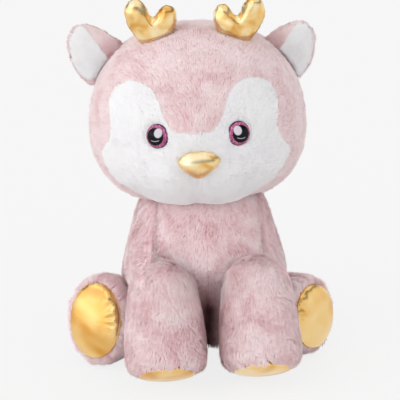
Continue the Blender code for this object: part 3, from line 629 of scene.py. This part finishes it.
pink_shell = surface_of("head_skin")
face_shell = surface_of("face_panel")
eye_places = {side: sum(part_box("eye_" + side), Vector()) / 2 for side in ("left", "right")}
nose_place = np.array(sum(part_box("nose"), Vector()) / 2)


def into_face(root):
    """How far each root lies inside the face's edge. It is less than nothing on the pink."""
    return how_far(pink_shell, root) - how_far(face_shell, root)


def on_pink(root):
    return into_face(root) < 0.0006


def away_from_nose(root, normal):
    """Pile that lies outwards from the nose over the front, and back and down over the rest."""
    out = unit(root - nose_place)
    back = np.column_stack([0 * root[:, 0], 0.5 * np.ones(len(root)), -0.8 * np.ones(len(root))])
    share = 1 / (1 + np.exp(-(FRONT_AT - root[:, 1]) / FRONT_BAND))
    return out * share[:, None] + back * (1 - share[:, None])


def muzzled(points):
    """The muzzle's two soft puffs, a shallow valley down from the nose, and the swell beside each eye."""
    low = falling(points[:, 2], nose_place[2], MUZZLE_TOP_BAND) * falling(points[:, 1], *MUZZLE_BACK)
    aside = points[:, 0] - nose_place[0]
    puff = PUFF_LIFT * bell(np.abs(aside) - PUFF_ASIDE, PUFF_WIDTH) - VALLEY_DEPTH * bell(aside, VALLEY_WIDTH)
    lift = low * puff
    for middle in eye_places.values():
        beside = np.array(middle) + np.array([-BRIDGE_ASIDE * np.sign(middle.x), 0, 0])
        lift += BRIDGE_LIFT * bell(np.linalg.norm(points - beside, axis=1), BRIDGE_WIDTH)
    return points + unit(points - HEAD_MIDDLE) * lift[:, None]


head = stuffed("head_padded", ["head_filling"], voxel=0.0055, swell=HEAD_SWELL, smooth=6)
blush_ground = plush("blush_plush_ground", BLUSH_MIDDLE, BLUSH_DEEP, "DDB4B9")
blush_pile = plush("blush_plush_pile", BLUSH_LIGHT, BLUSH_MIDDLE, BLUSH_DEEP)
move_points(head, muzzled(numbers(head.data.vertices, "co", 3).astype(float)))
give_material(head, blush_ground)
ride_padded(head, "head", "pink_plush", 0.85, "head_skin", "head_filling")
head_pile = pile(
    "head_pile", head, away_from_nose, length=HEAD_PILE, density=1.7e6, lean=(60, 82), seed=21,
    keep=on_pink, tufts=0.05, curls=0.14, parting=0.03, soft=0.95,
)
give_material(head_pile, blush_pile)
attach(head_pile, "head")

# The face.
# White plush with a softer, denser pile, cut as one panel: a lobe over each eye and a broad muzzle. It is sewn to the
# pink along its edge, and the eyes' stems pull it in.
FACE_SWELL, FACE_SINK = 0.0006, 0.0030
FACE_BACK = -0.01
SNOW_LIGHT = "F6F5F6"
SNOW_MIDDLE = "F4F3F4"
SNOW_DEEP = "EFEDEF"
EYE_WIDE, EYE_INNER_WIDE, EYE_INNER_FROM = 0.0118, 0.0100, 0.006
EYE_PARTING, EYE_PARTING_WIDTH = 0.7, 0.006


def off_the_eyes(root):
    keep = np.ones(len(root), bool)
    for middle in eye_places.values():
        inwards = (np.array(middle)[0] - root[:, 0]) * np.sign(middle.x) > EYE_INNER_FROM
        keep &= np.linalg.norm(root - np.array(middle), axis=1) > np.where(inwards, EYE_INNER_WIDE, EYE_WIDE)
    return keep


face_points = numbers(head.data.polygons, "center", 3)
white = face_points[:, 1] < FACE_BACK
white[white] = into_face(face_points[white]) > 0
head.data.polygons.foreach_set("material_index", white.astype(np.int32))


def on_face(root):
    near = off_the_eyes(root) & (root[:, 1] < FACE_BACK)
    near[near] = into_face(root[near]) > 0.0008
    return near


def round_the_eyes(root, normal):
    """The face's pile lies away from the nose, and so over each eye's inner edge and away from its outer one."""
    flow = away_from_nose(root, normal)
    for middle in eye_places.values():
        apart = root - np.array(middle)
        far = np.linalg.norm(apart, axis=1, keepdims=True)
        flow = flow + EYE_PARTING * apart / far * bell(far - EYE_WIDE, EYE_PARTING_WIDTH)
    return flow


snow_ground = plush("snow_plush_ground", SNOW_MIDDLE, SNOW_DEEP, "EAE7EA", shade="D9CFD4")
snow_pile = plush("snow_plush_pile", SNOW_LIGHT, SNOW_MIDDLE, SNOW_DEEP, shade="D9CFD4")
head.data.materials.append(snow_ground)
face = stuffed("face_padded", ["face_panel"], voxel=0.0035, swell=FACE_SWELL, smooth=3, levels=0)
face_points = numbers(face.data.vertices, "co", 3)
face_out = unit(face_points - HEAD_MIDDLE)
move_points(face, muzzled(face_points - face_out * FACE_SINK))
give_material(face, snow_ground)
ride_padded(face, "head", "white_plush", 0.6, "face_panel")
face_pile = pile(
    "face_pile", head, round_the_eyes, length=0.0056, density=2.8e6, lean=(60, 83), seed=31, keep=on_face,
    tufts=0.05, curls=0.10, parting=0.02, soft=0.96,
)
give_material(face_pile, snow_pile)
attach(face_pile, "head")

# The eyes.
# Safety eyes of clear acrylic, moulded as a dome 26 mm across over a black pupil and a ring of fine magenta glitter.
# The stem goes through the cover, out of sight, and a hard washer locks it behind.


def eye_frame_of(side):
    """The middle of the eye's rim, and its turn: its own Z points out of the face, square to the flat washer."""
    points = numbers(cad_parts["eye_" + side].data.vertices, "co", 3).astype(float)
    ring = numbers(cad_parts["eye_washer_" + side].data.vertices, "co", 3).astype(float)
    centre = (ring.min(0) + ring.max(0)) / 2
    out = np.linalg.svd(ring - ring.mean(0))[2][2]
    out = out * np.sign((points.mean(0) - centre) @ out)
    along = (points - centre) @ out
    rim = points[np.linalg.norm(points - centre - np.outer(along, out), axis=1) > EYE_RIM_FROM]
    return Vector(rim.mean(0)), Vector(out).to_track_quat("Z", "Y").to_matrix()


def glitter_eye(name):
    """Clear acrylic over printed glitter. It gives the eye a black pupil, a magenta ring that sparkles in fine
    grains, a dark edge, a painted highlight in the pupil, and a hard wet gloss over all of it."""
    made, tree = new_material(name)
    where = add_node(tree, "ShaderNodeUVMap", {"uv_map": "eye_face"}).outputs[0]
    grains = add_node(tree, "ShaderNodeTexVoronoi", {"Scale": 46.0}, Vector=where)
    sparkle = add_node(tree, "ShaderNodeValToRGB", None, Fac=grains.outputs["Color"])
    for place, code in ((0.10, "6E2A50"), (0.45, "9C4573"), (0.72, "B96A94"), (0.97, "EDBDD4")):
        dot = sparkle.color_ramp.elements.new(place)
        dot.color = linear(code)
    sparkle.color_ramp.elements.remove(sparkle.color_ramp.elements[0])
    middle = add_node(tree, "ShaderNodeVectorMath", {"operation": "SUBTRACT", 1: (0.5, 0.5, 0)}, _0=where)
    reach = add_node(tree, "ShaderNodeVectorMath", {"operation": "LENGTH"}, _0=middle.outputs[0])
    ring = add_node(tree, "ShaderNodeValToRGB", None, Fac=reach.outputs["Value"])
    ring.color_ramp.elements[0].position, ring.color_ramp.elements[0].color = 0.350, (0, 0, 0, 1)
    ring.color_ramp.elements[1].position, ring.color_ramp.elements[1].color = 0.366, (1, 1, 1, 1)
    ring.color_ramp.elements.new(0.455).color = (1, 1, 1, 1)
    ring.color_ramp.elements.new(0.480).color = (0.12, 0.12, 0.12, 1)
    colour = add_node(
        tree, "ShaderNodeMix", {"data_type": "RGBA", 6: linear("0A080B")}, _0=ring.outputs[0], _7=sparkle.outputs[0]
    )
    # A painted highlight stands in for a lamp's reflection: a soft pale oval high in the pupil, and a fine arc below
    # it.
    oval = add_node(
        tree, "ShaderNodeMapping", {"vector_type": "POINT", "Location": PAINTED_CATCHLIGHT, "Scale": PAINTED_CATCHLIGHT_SCALE},
        Vector=where,
    )
    spot = add_node(tree, "ShaderNodeVectorMath", {"operation": "LENGTH"}, _0=oval.outputs[0])
    shine = add_node(tree, "ShaderNodeValToRGB", None, Fac=spot.outputs["Value"])
    shine.color_ramp.elements[0].position, shine.color_ramp.elements[0].color = 0.80, (1, 1, 1, 1)
    shine.color_ramp.elements[1].position, shine.color_ramp.elements[1].color = 1.0, (0, 0, 0, 1)
    lit = add_node(
        tree, "ShaderNodeMix", {"data_type": "RGBA", 7: linear("C9C4CC")}, _0=shine.outputs[0], _6=colour.outputs[2]
    )
    bow = add_node(tree, "ShaderNodeVectorMath", {"operation": "DISTANCE", 1: (0.5, 0.75, 0)}, _0=where)
    line = add_node(tree, "ShaderNodeMapRange", {"From Min": 0.405, "From Max": 0.43}, Value=bow.outputs["Value"])
    rest = add_node(tree, "ShaderNodeMapRange", {"From Min": 0.455, "From Max": 0.43}, Value=bow.outputs["Value"])
    short = add_node(tree, "ShaderNodeVectorMath", {"operation": "DISTANCE", 1: (0.52, 0.33, 0)}, _0=where)
    ends = add_node(tree, "ShaderNodeMapRange", {"From Min": 0.20, "From Max": 0.15}, Value=short.outputs["Value"])
    both = add_node(tree, "ShaderNodeMath", {"operation": "MULTIPLY"}, _0=line.outputs[0], _1=rest.outputs[0])
    arc = add_node(tree, "ShaderNodeMath", {"operation": "MULTIPLY"}, _0=both.outputs[0], _1=ends.outputs[0])
    lined = add_node(
        tree, "ShaderNodeMix", {"data_type": "RGBA", 7: linear("B7B0BA")}, _0=arc.outputs[0], _6=lit.outputs[2]
    )
    shader = add_node(
        tree, "ShaderNodeBsdfPrincipled",
        {"Roughness": 0.4, "Specular IOR Level": 0.0, "Coat Weight": 0.35, "Coat Roughness": 0.02, "Coat IOR": 1.49},
        Base_Color=lined.outputs[2],
    )
    add_node(tree, "ShaderNodeOutputMaterial", None, Surface=shader.outputs[0])
    return made


# Where the painted highlight lies in the pupil, and how big it is.
PAINTED_CATCHLIGHT, PAINTED_CATCHLIGHT_SCALE = (-3.62, -3.2, 0), (5.6, 4.9, 1)
EYE_RADIUS = 0.0129
EYE_DOME = 0.0085
EYE_SINK = 0.0022
EYE_CUT = -0.12
EYE_RIM_FROM = 0.0122
eye_acrylic = glitter_eye("clear_acrylic_over_glitter")
for side in ("left", "right"):
    middle, turn = eye_frame_of(side)
    bpy.ops.object.select_all(action="DESELECT")
    bpy.ops.mesh.primitive_uv_sphere_add(segments=64, ring_count=32, radius=1, location=(0, 0, 0))
    dome = bpy.context.object
    dome.name = dome.data.name = "eye_dome_" + side
    bpy.ops.object.mode_set(mode="EDIT")
    bpy.ops.mesh.select_all(action="SELECT")
    bpy.ops.mesh.bisect(plane_co=(0, 0, EYE_CUT), plane_no=(0, 0, 1), clear_inner=True, use_fill=True)
    bpy.ops.object.mode_set(mode="OBJECT")
    points = numbers(dome.data.vertices, "co", 3).astype(float)
    dome.data.uv_layers.remove(dome.data.uv_layers[0])
    corner = numbers(dome.data.loops, "vertex_index", 1, np.int32)[:, 0]
    flat = dome.data.uv_layers.new(name="eye_face")
    inwards = np.array([-1 if side == "left" else 1, 1])
    flat.uv.foreach_set("vector", (points[corner, :2] * inwards / 2 + 0.5).astype(np.float32).ravel())
    points = points * np.array([EYE_RADIUS, EYE_RADIUS, EYE_DOME]) - np.array([0, 0, EYE_SINK])
    move_points(dome, points @ np.array(turn).T + np.array(middle))
    dome.data.polygons.foreach_set("use_smooth", [True] * len(dome.data.polygons))
    give_material(dome, eye_acrylic)
    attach(dome, "head")
    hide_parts("eye_" + side)

washer_nylon, tree = new_material("moulded_nylon_washer")
where = add_node(tree, "ShaderNodeTexCoord").outputs["Object"]
tint = add_node(tree, "ShaderNodeTexNoise", {"Scale": 300.0}, Vector=where)
tone = add_node(tree, "ShaderNodeValToRGB", None, Fac=tint.outputs[0])
tone.color_ramp.elements[0].color, tone.color_ramp.elements[1].color = linear("D8D6D0"), linear("ECEAE4")
shader = add_node(tree, "ShaderNodeBsdfPrincipled", {"Roughness": 0.45, "IOR": 1.53}, Base_Color=tone.outputs[0])
add_node(tree, "ShaderNodeOutputMaterial", None, Surface=shader.outputs[0])
for side in ("left", "right"):
    give_material(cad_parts["eye_washer_" + side], washer_nylon)

# The nose.
# A small cushion of gold foil cloth, sewn from an arched top and a pointed chin. A rolled seam runs along the arch,
# and a short seam runs down the middle.
NOSE_SWELL, NOSE_BULGE, NOSE_FRONT = 0.0012, 0.0032, 0.004
NOSE_HALF_WIDE, NOSE_HALF_HIGH = 0.0215, 0.0140
ARCH_DEPTH, ARCH_REACH, ARCH_WIDTH, ARCH_FOOT = 0.0006, 0.84, 0.08, -0.15
CLEFT_DEPTH, CLEFT_WIDTH, CLEFT_BAND = 0.0009, 0.04, 0.2
# The foil's colours; the deeper ones are painted crease shade and painted dark reflection.
FOIL_LIGHT = "FDEBC2"
FOIL_MIDDLE = "F3CC86"
FOIL_DEEP = "DDA350"
FOIL_SHADE = "B4772F"


def foil(name, painted_crease_size=0.016, rough=0.27, contrast=1.4, wrinkle=0.08, deeper=0.0):
    """Foil-coated lame cloth. It gives the eye a bright gold mirror, broken at random by painted crease shade and
    painted dark reflections in orange and brown, and a fine knit that takes the edge off each highlight."""
    made, tree = new_material(name)
    where = add_node(tree, "ShaderNodeTexCoord").outputs["Object"]
    broad = add_node(
        tree, "ShaderNodeTexNoise", {"Scale": 1 / painted_crease_size, "Detail": 1.0, "Roughness": 0.4, "Distortion": 0.8},
        Vector=where,
    )
    # The colour holds painted shade and painted dark reflections, as in creases, where the noise is low.
    colours = add_node(tree, "ShaderNodeValToRGB", None, Fac=broad.outputs[0])
    ramp, half = colours.color_ramp, 0.5 + deeper
    ramp.elements[0].position, ramp.elements[0].color = half - 0.26 * contrast, linear(FOIL_SHADE)
    ramp.elements[1].position, ramp.elements[1].color = min(1, half + 0.16 * contrast), linear(FOIL_LIGHT)
    ramp.elements.new(half - 0.15 * contrast).color = linear(FOIL_DEEP)
    ramp.elements.new(half - 0.03 * contrast).color = linear(FOIL_MIDDLE)
    fine = add_node(tree, "ShaderNodeTexNoise", {"Scale": 1 / 0.006, "Detail": 1.0, "Distortion": 0.6}, Vector=where)
    knit = add_node(tree, "ShaderNodeTexVoronoi", {"Scale": 1 / 0.0007}, Vector=where)
    low = add_node(tree, "ShaderNodeBump", {"Strength": wrinkle, "Distance": 0.0006}, Height=fine.outputs[0])
    bump = add_node(
        tree, "ShaderNodeBump", {"Strength": 0.12, "Distance": 0.0002}, Height=knit.outputs[0], Normal=low.outputs[0]
    )
    shader = add_node(
        tree, "ShaderNodeBsdfPrincipled", {"Metallic": 1.0, "Roughness": rough},
        Base_Color=colours.outputs[0], Normal=bump.outputs[0],
    )
    add_node(tree, "ShaderNodeOutputMaterial", None, Surface=shader.outputs[0])
    return made


foil_cloth = foil("gold_foil_cloth")
# The nose's copy is painted a little lighter, as a lit copy of the same foil.
foil_tight = foil("gold_foil_drawn_tight", rough=0.32, wrinkle=0.05, deeper=-0.05)
nose = stuffed("nose_padded", ["nose"], voxel=0.0012, swell=NOSE_SWELL, smooth=8)
points = numbers(nose.data.vertices, "co", 3).astype(float)
across = (points[:, 0] - nose_place[0]) / NOSE_HALF_WIDE
height = (points[:, 2] - nose_place[2]) / NOSE_HALF_HIGH
reach = np.sqrt(across**2 + height**2)
lift = NOSE_BULGE * np.clip(1 - reach**2, 0, 1)
lift -= ARCH_DEPTH * bell(reach - ARCH_REACH, ARCH_WIDTH) * (height > ARCH_FOOT)
lift -= CLEFT_DEPTH * bell(across, CLEFT_WIDTH) * np.clip(-height / CLEFT_BAND, 0, 1)
points[:, 1] -= lift * falling(points[:, 1], nose_place[1] + NOSE_FRONT, NOSE_FRONT)
move_points(nose, points)
give_material(nose, foil_tight)
ride_padded(nose, "head", "gold_foil", 0.8, "nose")

# The ears.
# Each is a plush back folded round a flat pad, with its front lined in short white pile. The pink comes round the
# outer edge as a narrow rim, and covers the inner half of the front as a soft fold.
THIN_SWELL = 0.0004
EAR_SHRINK, LINING_SHRINK = 0.0014, 0.0002
EAR_PILE, LINING_PILE = 0.0050, 0.0034
EAR_ROOT_PAINTED_SHADE, EAR_ROOT_REACH = 0.62, 0.020


def shrunk(name, nodes, voxel, depth, levels=1):
    """A padded piece whose skin lies this deep inside its solid, which leaves room for the pile."""
    made = stuffed(name, nodes, voxel, THIN_SWELL, smooth=3, levels=levels)
    move_points(made, evenly_out(made, numbers(made.data.vertices, "co", 3), -depth))
    return made


def towards_root(points, root, near=0.030, reach=0.008):
    """Points near the root moved on into the head, so that no gap shows round it."""
    inwards = unit((HEAD_MIDDLE - root)[None])
    far = np.linalg.norm(points - root, axis=1, keepdims=True)
    return points + inwards * reach * bell(far, near)


for side, sign in (("left", 1), ("right", -1)):
    low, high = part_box("ear_skin_" + side)
    root = np.array([low[0] if sign > 0 else high[0], (low[1] + high[1]) / 2, low[2] + 0.3 * (high[2] - low[2])])

    back_shell, lining_shell = surface_of("ear_skin_" + side), surface_of("ear_lining_" + side)

    def outwards(points, normal):
        return unit(points - root)

    def on_back(points):
        return how_far(back_shell, points) < how_far(lining_shell, points) + 0.0003

    # Painted shade on the front of the ear, darker towards its root, where it meets the head.
    def near_root(points):
        near = np.clip(1.9 - np.linalg.norm(points - root, axis=1) / EAR_ROOT_REACH, 0, 1)
        return EAR_ROOT_PAINTED_SHADE * near * (points[:, 1] < root[1])

    ear = shrunk(
        "ear_padded_" + side, ["ear_skin_" + side, "ear_lining_" + side], voxel=0.0018, depth=EAR_SHRINK, levels=0
    )
    move_points(ear, towards_root(numbers(ear.data.vertices, "co", 3), root))
    give_material(ear, rose_ground)
    ride_padded(ear, "ear_" + side, "pink_plush", 0.4, "ear_skin_" + side)
    ear_pile = pile(
        "ear_pile_" + side, ear, outwards, length=EAR_PILE, density=2.6e6, lean=(56, 80), seed=41,
        keep=on_back, tufts=0.08, curls=0.12, parting=0.03, parting_and_painted_shade=near_root,
    )
    give_material(ear_pile, blush_pile)
    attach(ear_pile, "ear_" + side)
    lining = shrunk(
        "ear_lining_padded_" + side, ["ear_lining_" + side], voxel=0.0014, depth=LINING_SHRINK, levels=0
    )
    give_material(lining, snow_ground)
    ride_padded(lining, "ear_" + side, "white_plush", 0.4, "ear_lining_" + side)
    lining_pile = pile(
        "ear_lining_pile_" + side, lining, outwards, length=LINING_PILE, density=2.4e6, lean=(55, 80), seed=43,
        tufts=0.08, curls=0.1, parting=0.0,
    )
    give_material(lining_pile, snow_pile)
    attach(lining_pile, "ear_" + side)

# The antlers.
# Each is two panels of gold foil cloth sewn face to face, turned and stuffed tight: two lobes with a notch between
# them. The seam draws the foil into short pleats all round the edge.
ANTLER_SWELL = 0.0008
PLEAT_SPACING, PLEAT_LIFT, SEAM_DRAW, SEAM_BAND = 0.0062, 0.00024, 0.0003, 0.42
DENT_LIFT, DENT_SPACING = 0.00035, 0.020
for side in ("left", "right"):
    antler = stuffed("antler_padded_" + side, ["antler_" + side], voxel=0.0015, swell=ANTLER_SWELL, smooth=9)
    points = numbers(antler.data.vertices, "co", 3).astype(float)
    out = numbers(antler.data.vertices, "normal", 3).astype(float)
    seam = bell(out[:, 1], SEAM_BAND)[:, None]
    along = 2 * math.pi * (points[:, :1] + 0.7 * points[:, 2:]) / PLEAT_SPACING
    pleats = np.sin(along + 2 * wave_field(points, 0.02, 5, 1))
    dents = wave_field(points, DENT_SPACING, 6, 1)
    points += out * (PLEAT_LIFT * pleats * seam - SEAM_DRAW * seam + DENT_LIFT * dents)
    root = points[points[:, 2] < points[:, 2].min() + 0.004].mean(0)
    move_points(antler, towards_root(points, root, 0.012, 0.004))
    give_material(antler, foil_cloth)
    ride_padded(antler, "antler_" + side, "gold_foil", 0.9, "antler_" + side)

# The front legs.
# Thick plush tubes that come straight down from the shoulders and end in a puffed foil sole. The pile lies down the
# leg, and is longer at the paw, where it stands out past the sole's edge.
LEG_VOXEL, LEG_SWELL = 0.004, 0.0060
BODY_MIDDLE = np.array([0, 0, 0.12])
GATHERS, GATHERS_REACH, GATHERS_WIDTH = 17, 0.84, 0.20
GATHERS_MIDDLE, GATHERS_SPREAD = math.radians(32), math.radians(36)
SOLE_INSET, SOLE_SWELL = 0.045, 0.0006
EDGE_WIDTH, EDGE_LEAN, EDGE_FLARE = 0.009, 5, 4
# The soles' copies are painted darker, as shaded copies of the same foil.
foil_soft = foil("gold_foil_sole_cloth", painted_crease_size=0.045, contrast=2.2, deeper=0.10)
foil_low = foil("gold_foil_front_sole_cloth", painted_crease_size=0.045, contrast=1.8, deeper=0.10)


def sole_frame(node):
    """A sole's middle, the way that it faces, and its own up and across. Across points in, to the deer's middle."""
    points = numbers(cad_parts[node].data.vertices, "co", 3).astype(float)
    middle = (points.min(0) + points.max(0)) / 2
    out = np.linalg.svd(points - points.mean(0), full_matrices=False)[2][2]
    out = out * np.sign(out @ (middle - BODY_MIDDLE))
    up = np.array([0, 0, 1.0]) - out * out[2]
    up /= np.linalg.norm(up)
    across = np.cross(up, out)
    return middle, out, up, across * -np.sign(across[0] * middle[0])


def sole(name, node, body, cloth, voxel, bulge, gather):
    """A foil pad, puffed out in the middle and drawn into radial gathers over the upper inner quarter of its edge."""
    made = stuffed(name, [node], voxel, SOLE_SWELL, smooth=5)
    middle, out, up, across = sole_frame(node)
    points = numbers(made.data.vertices, "co", 3).astype(float)
    faces_out = np.clip(numbers(made.data.vertices, "normal", 3) @ out, 0, 1)
    side, rise = (points - middle) @ across, (points - middle) @ up
    side, rise = side / np.abs(side).max(), rise / np.abs(rise).max()
    reach, turn = np.hypot(side, rise), np.arctan2(rise, side)
    points += np.outer(bulge * np.clip(1 - reach**2, 0, 1) * faces_out, out)
    window = np.exp(-(((turn - GATHERS_MIDDLE) / GATHERS_SPREAD) ** 4))
    folds = 0.5 + 0.5 * np.sin(GATHERS * turn + 1.6 * np.sin(4 * turn))
    folds = folds * bell(reach - GATHERS_REACH, GATHERS_WIDTH)
    points += np.outer(gather * window * folds * faces_out, out)
    inwards = 1 - SOLE_INSET * np.clip(reach, 0, 1)
    flat = np.outer((points - middle) @ across, across) + np.outer((points - middle) @ up, up)
    points += flat * (inwards - 1)[:, None]
    move_points(made, stay_above_floor(points))
    give_material(made, cloth)
    ride_padded(made, body, "gold_foil", 0.6, node)
    return made


def paw_pile(name, skin, body, skin_node, sole_node, seed, fringe, flared=False):
    """Pile on a leg, which lies down it. At the sole it's longest, and lies over its edge or flares out round it."""
    plush_shell, sole_shell = surface_of(skin_node), surface_of(sole_node)
    middle, out, up, across = sole_frame(sole_node)

    def on_leg(root):
        return how_far(plush_shell, root) < how_far(sole_shell, root) + 0.0005

    def at_edge(root):
        return bell(how_far(sole_shell, root), EDGE_WIDTH)

    def over_edge(root, normal):
        if flared:
            apart = root - middle
            way = unit(apart - np.outer(apart @ out, out)) - 0.8 * out
            return 0.5 * downwards(root, normal) + EDGE_FLARE * at_edge(root)[:, None] * way
        return downwards(root, normal) + EDGE_LEAN * fringe * at_edge(root)[:, None] * out

    grown = pile(
        name, skin, over_edge, seed=seed, keep=on_leg, shorten=lambda root: 1 + fringe * at_edge(root),
        # The crevice's painted shadow reaches the legs' inner sides too.
        parting_and_painted_shade=lambda root: 0.9 * between_legs(root),
    )
    give_material(grown, darker_leg_pile)
    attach(grown, body)
    return grown


for side in ("left", "right"):
    body = "front_leg_" + side
    leg = stuffed(
        "front_leg_padded_" + side, ["front_leg_filling_" + side], voxel=LEG_VOXEL, swell=LEG_SWELL, smooth=6
    )
    fill_folds(leg)
    finish_modifier(leg, "SMOOTH", factor=0.5, iterations=5)
    give_material(leg, rose_ground)
    ride_padded(leg, body, "pink_plush", 0.8, "front_leg_skin_" + side, "front_leg_filling_" + side)
    paw_pile(
        "front_leg_pile_" + side, leg, body, "front_leg_skin_" + side, "front_sole_" + side, seed=51, fringe=0.12
    )
    sole(
        "front_sole_padded_" + side, "front_sole_" + side, body, foil_low, voxel=0.0020, bulge=0.0030, gather=0.0
    )

# The hind legs.
# Short and thick, with the feet turned out and up, so that the foil soles show. Each sole is an oval pad, gathered at
# its upper inner edge, inside a rim of pile.
for side in ("left", "right"):
    body = "hind_leg_" + side
    leg = stuffed(
        "hind_leg_padded_" + side, ["hind_leg_filling_" + side], voxel=LEG_VOXEL, swell=LEG_SWELL, smooth=6
    )
    give_material(leg, rose_ground)
    ride_padded(leg, body, "pink_plush", 0.8, "hind_leg_skin_" + side, "hind_leg_filling_" + side)
    paw_pile(
        "hind_leg_pile_" + side, leg, body, "hind_leg_skin_" + side, "hind_sole_" + side, seed=61, fringe=0.15,
        flared=True,
    )
    sole(
        "hind_sole_padded_" + side, "hind_sole_" + side, body, foil_soft, voxel=0.0018, bulge=0.0050, gather=0.0017
    )

# The tail.
# A short stuffed stub of the body's plush, sewn on behind, low down.
TAIL_SHRINK, TAIL_INTO_SEAT, TAIL_NEAR = 0.0018, 0.016, 0.016
tail = shrunk("tail_padded", ["tail"], voxel=0.002, depth=TAIL_SHRINK)
points = numbers(tail.data.vertices, "co", 3).astype(float)
start = points[:, 1].min()
points[:, 1] -= TAIL_INTO_SEAT * falling(points[:, 1], start + TAIL_NEAR, TAIL_NEAR)
move_points(tail, points)
give_material(tail, rose_ground)
ride_padded(tail, "tail", "pink_plush", 0.8, "tail")
tail_pile = pile("tail_pile", tail, downwards, seed=71)
give_material(tail_pile, lighter_rose_pile)
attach(tail_pile, "tail")
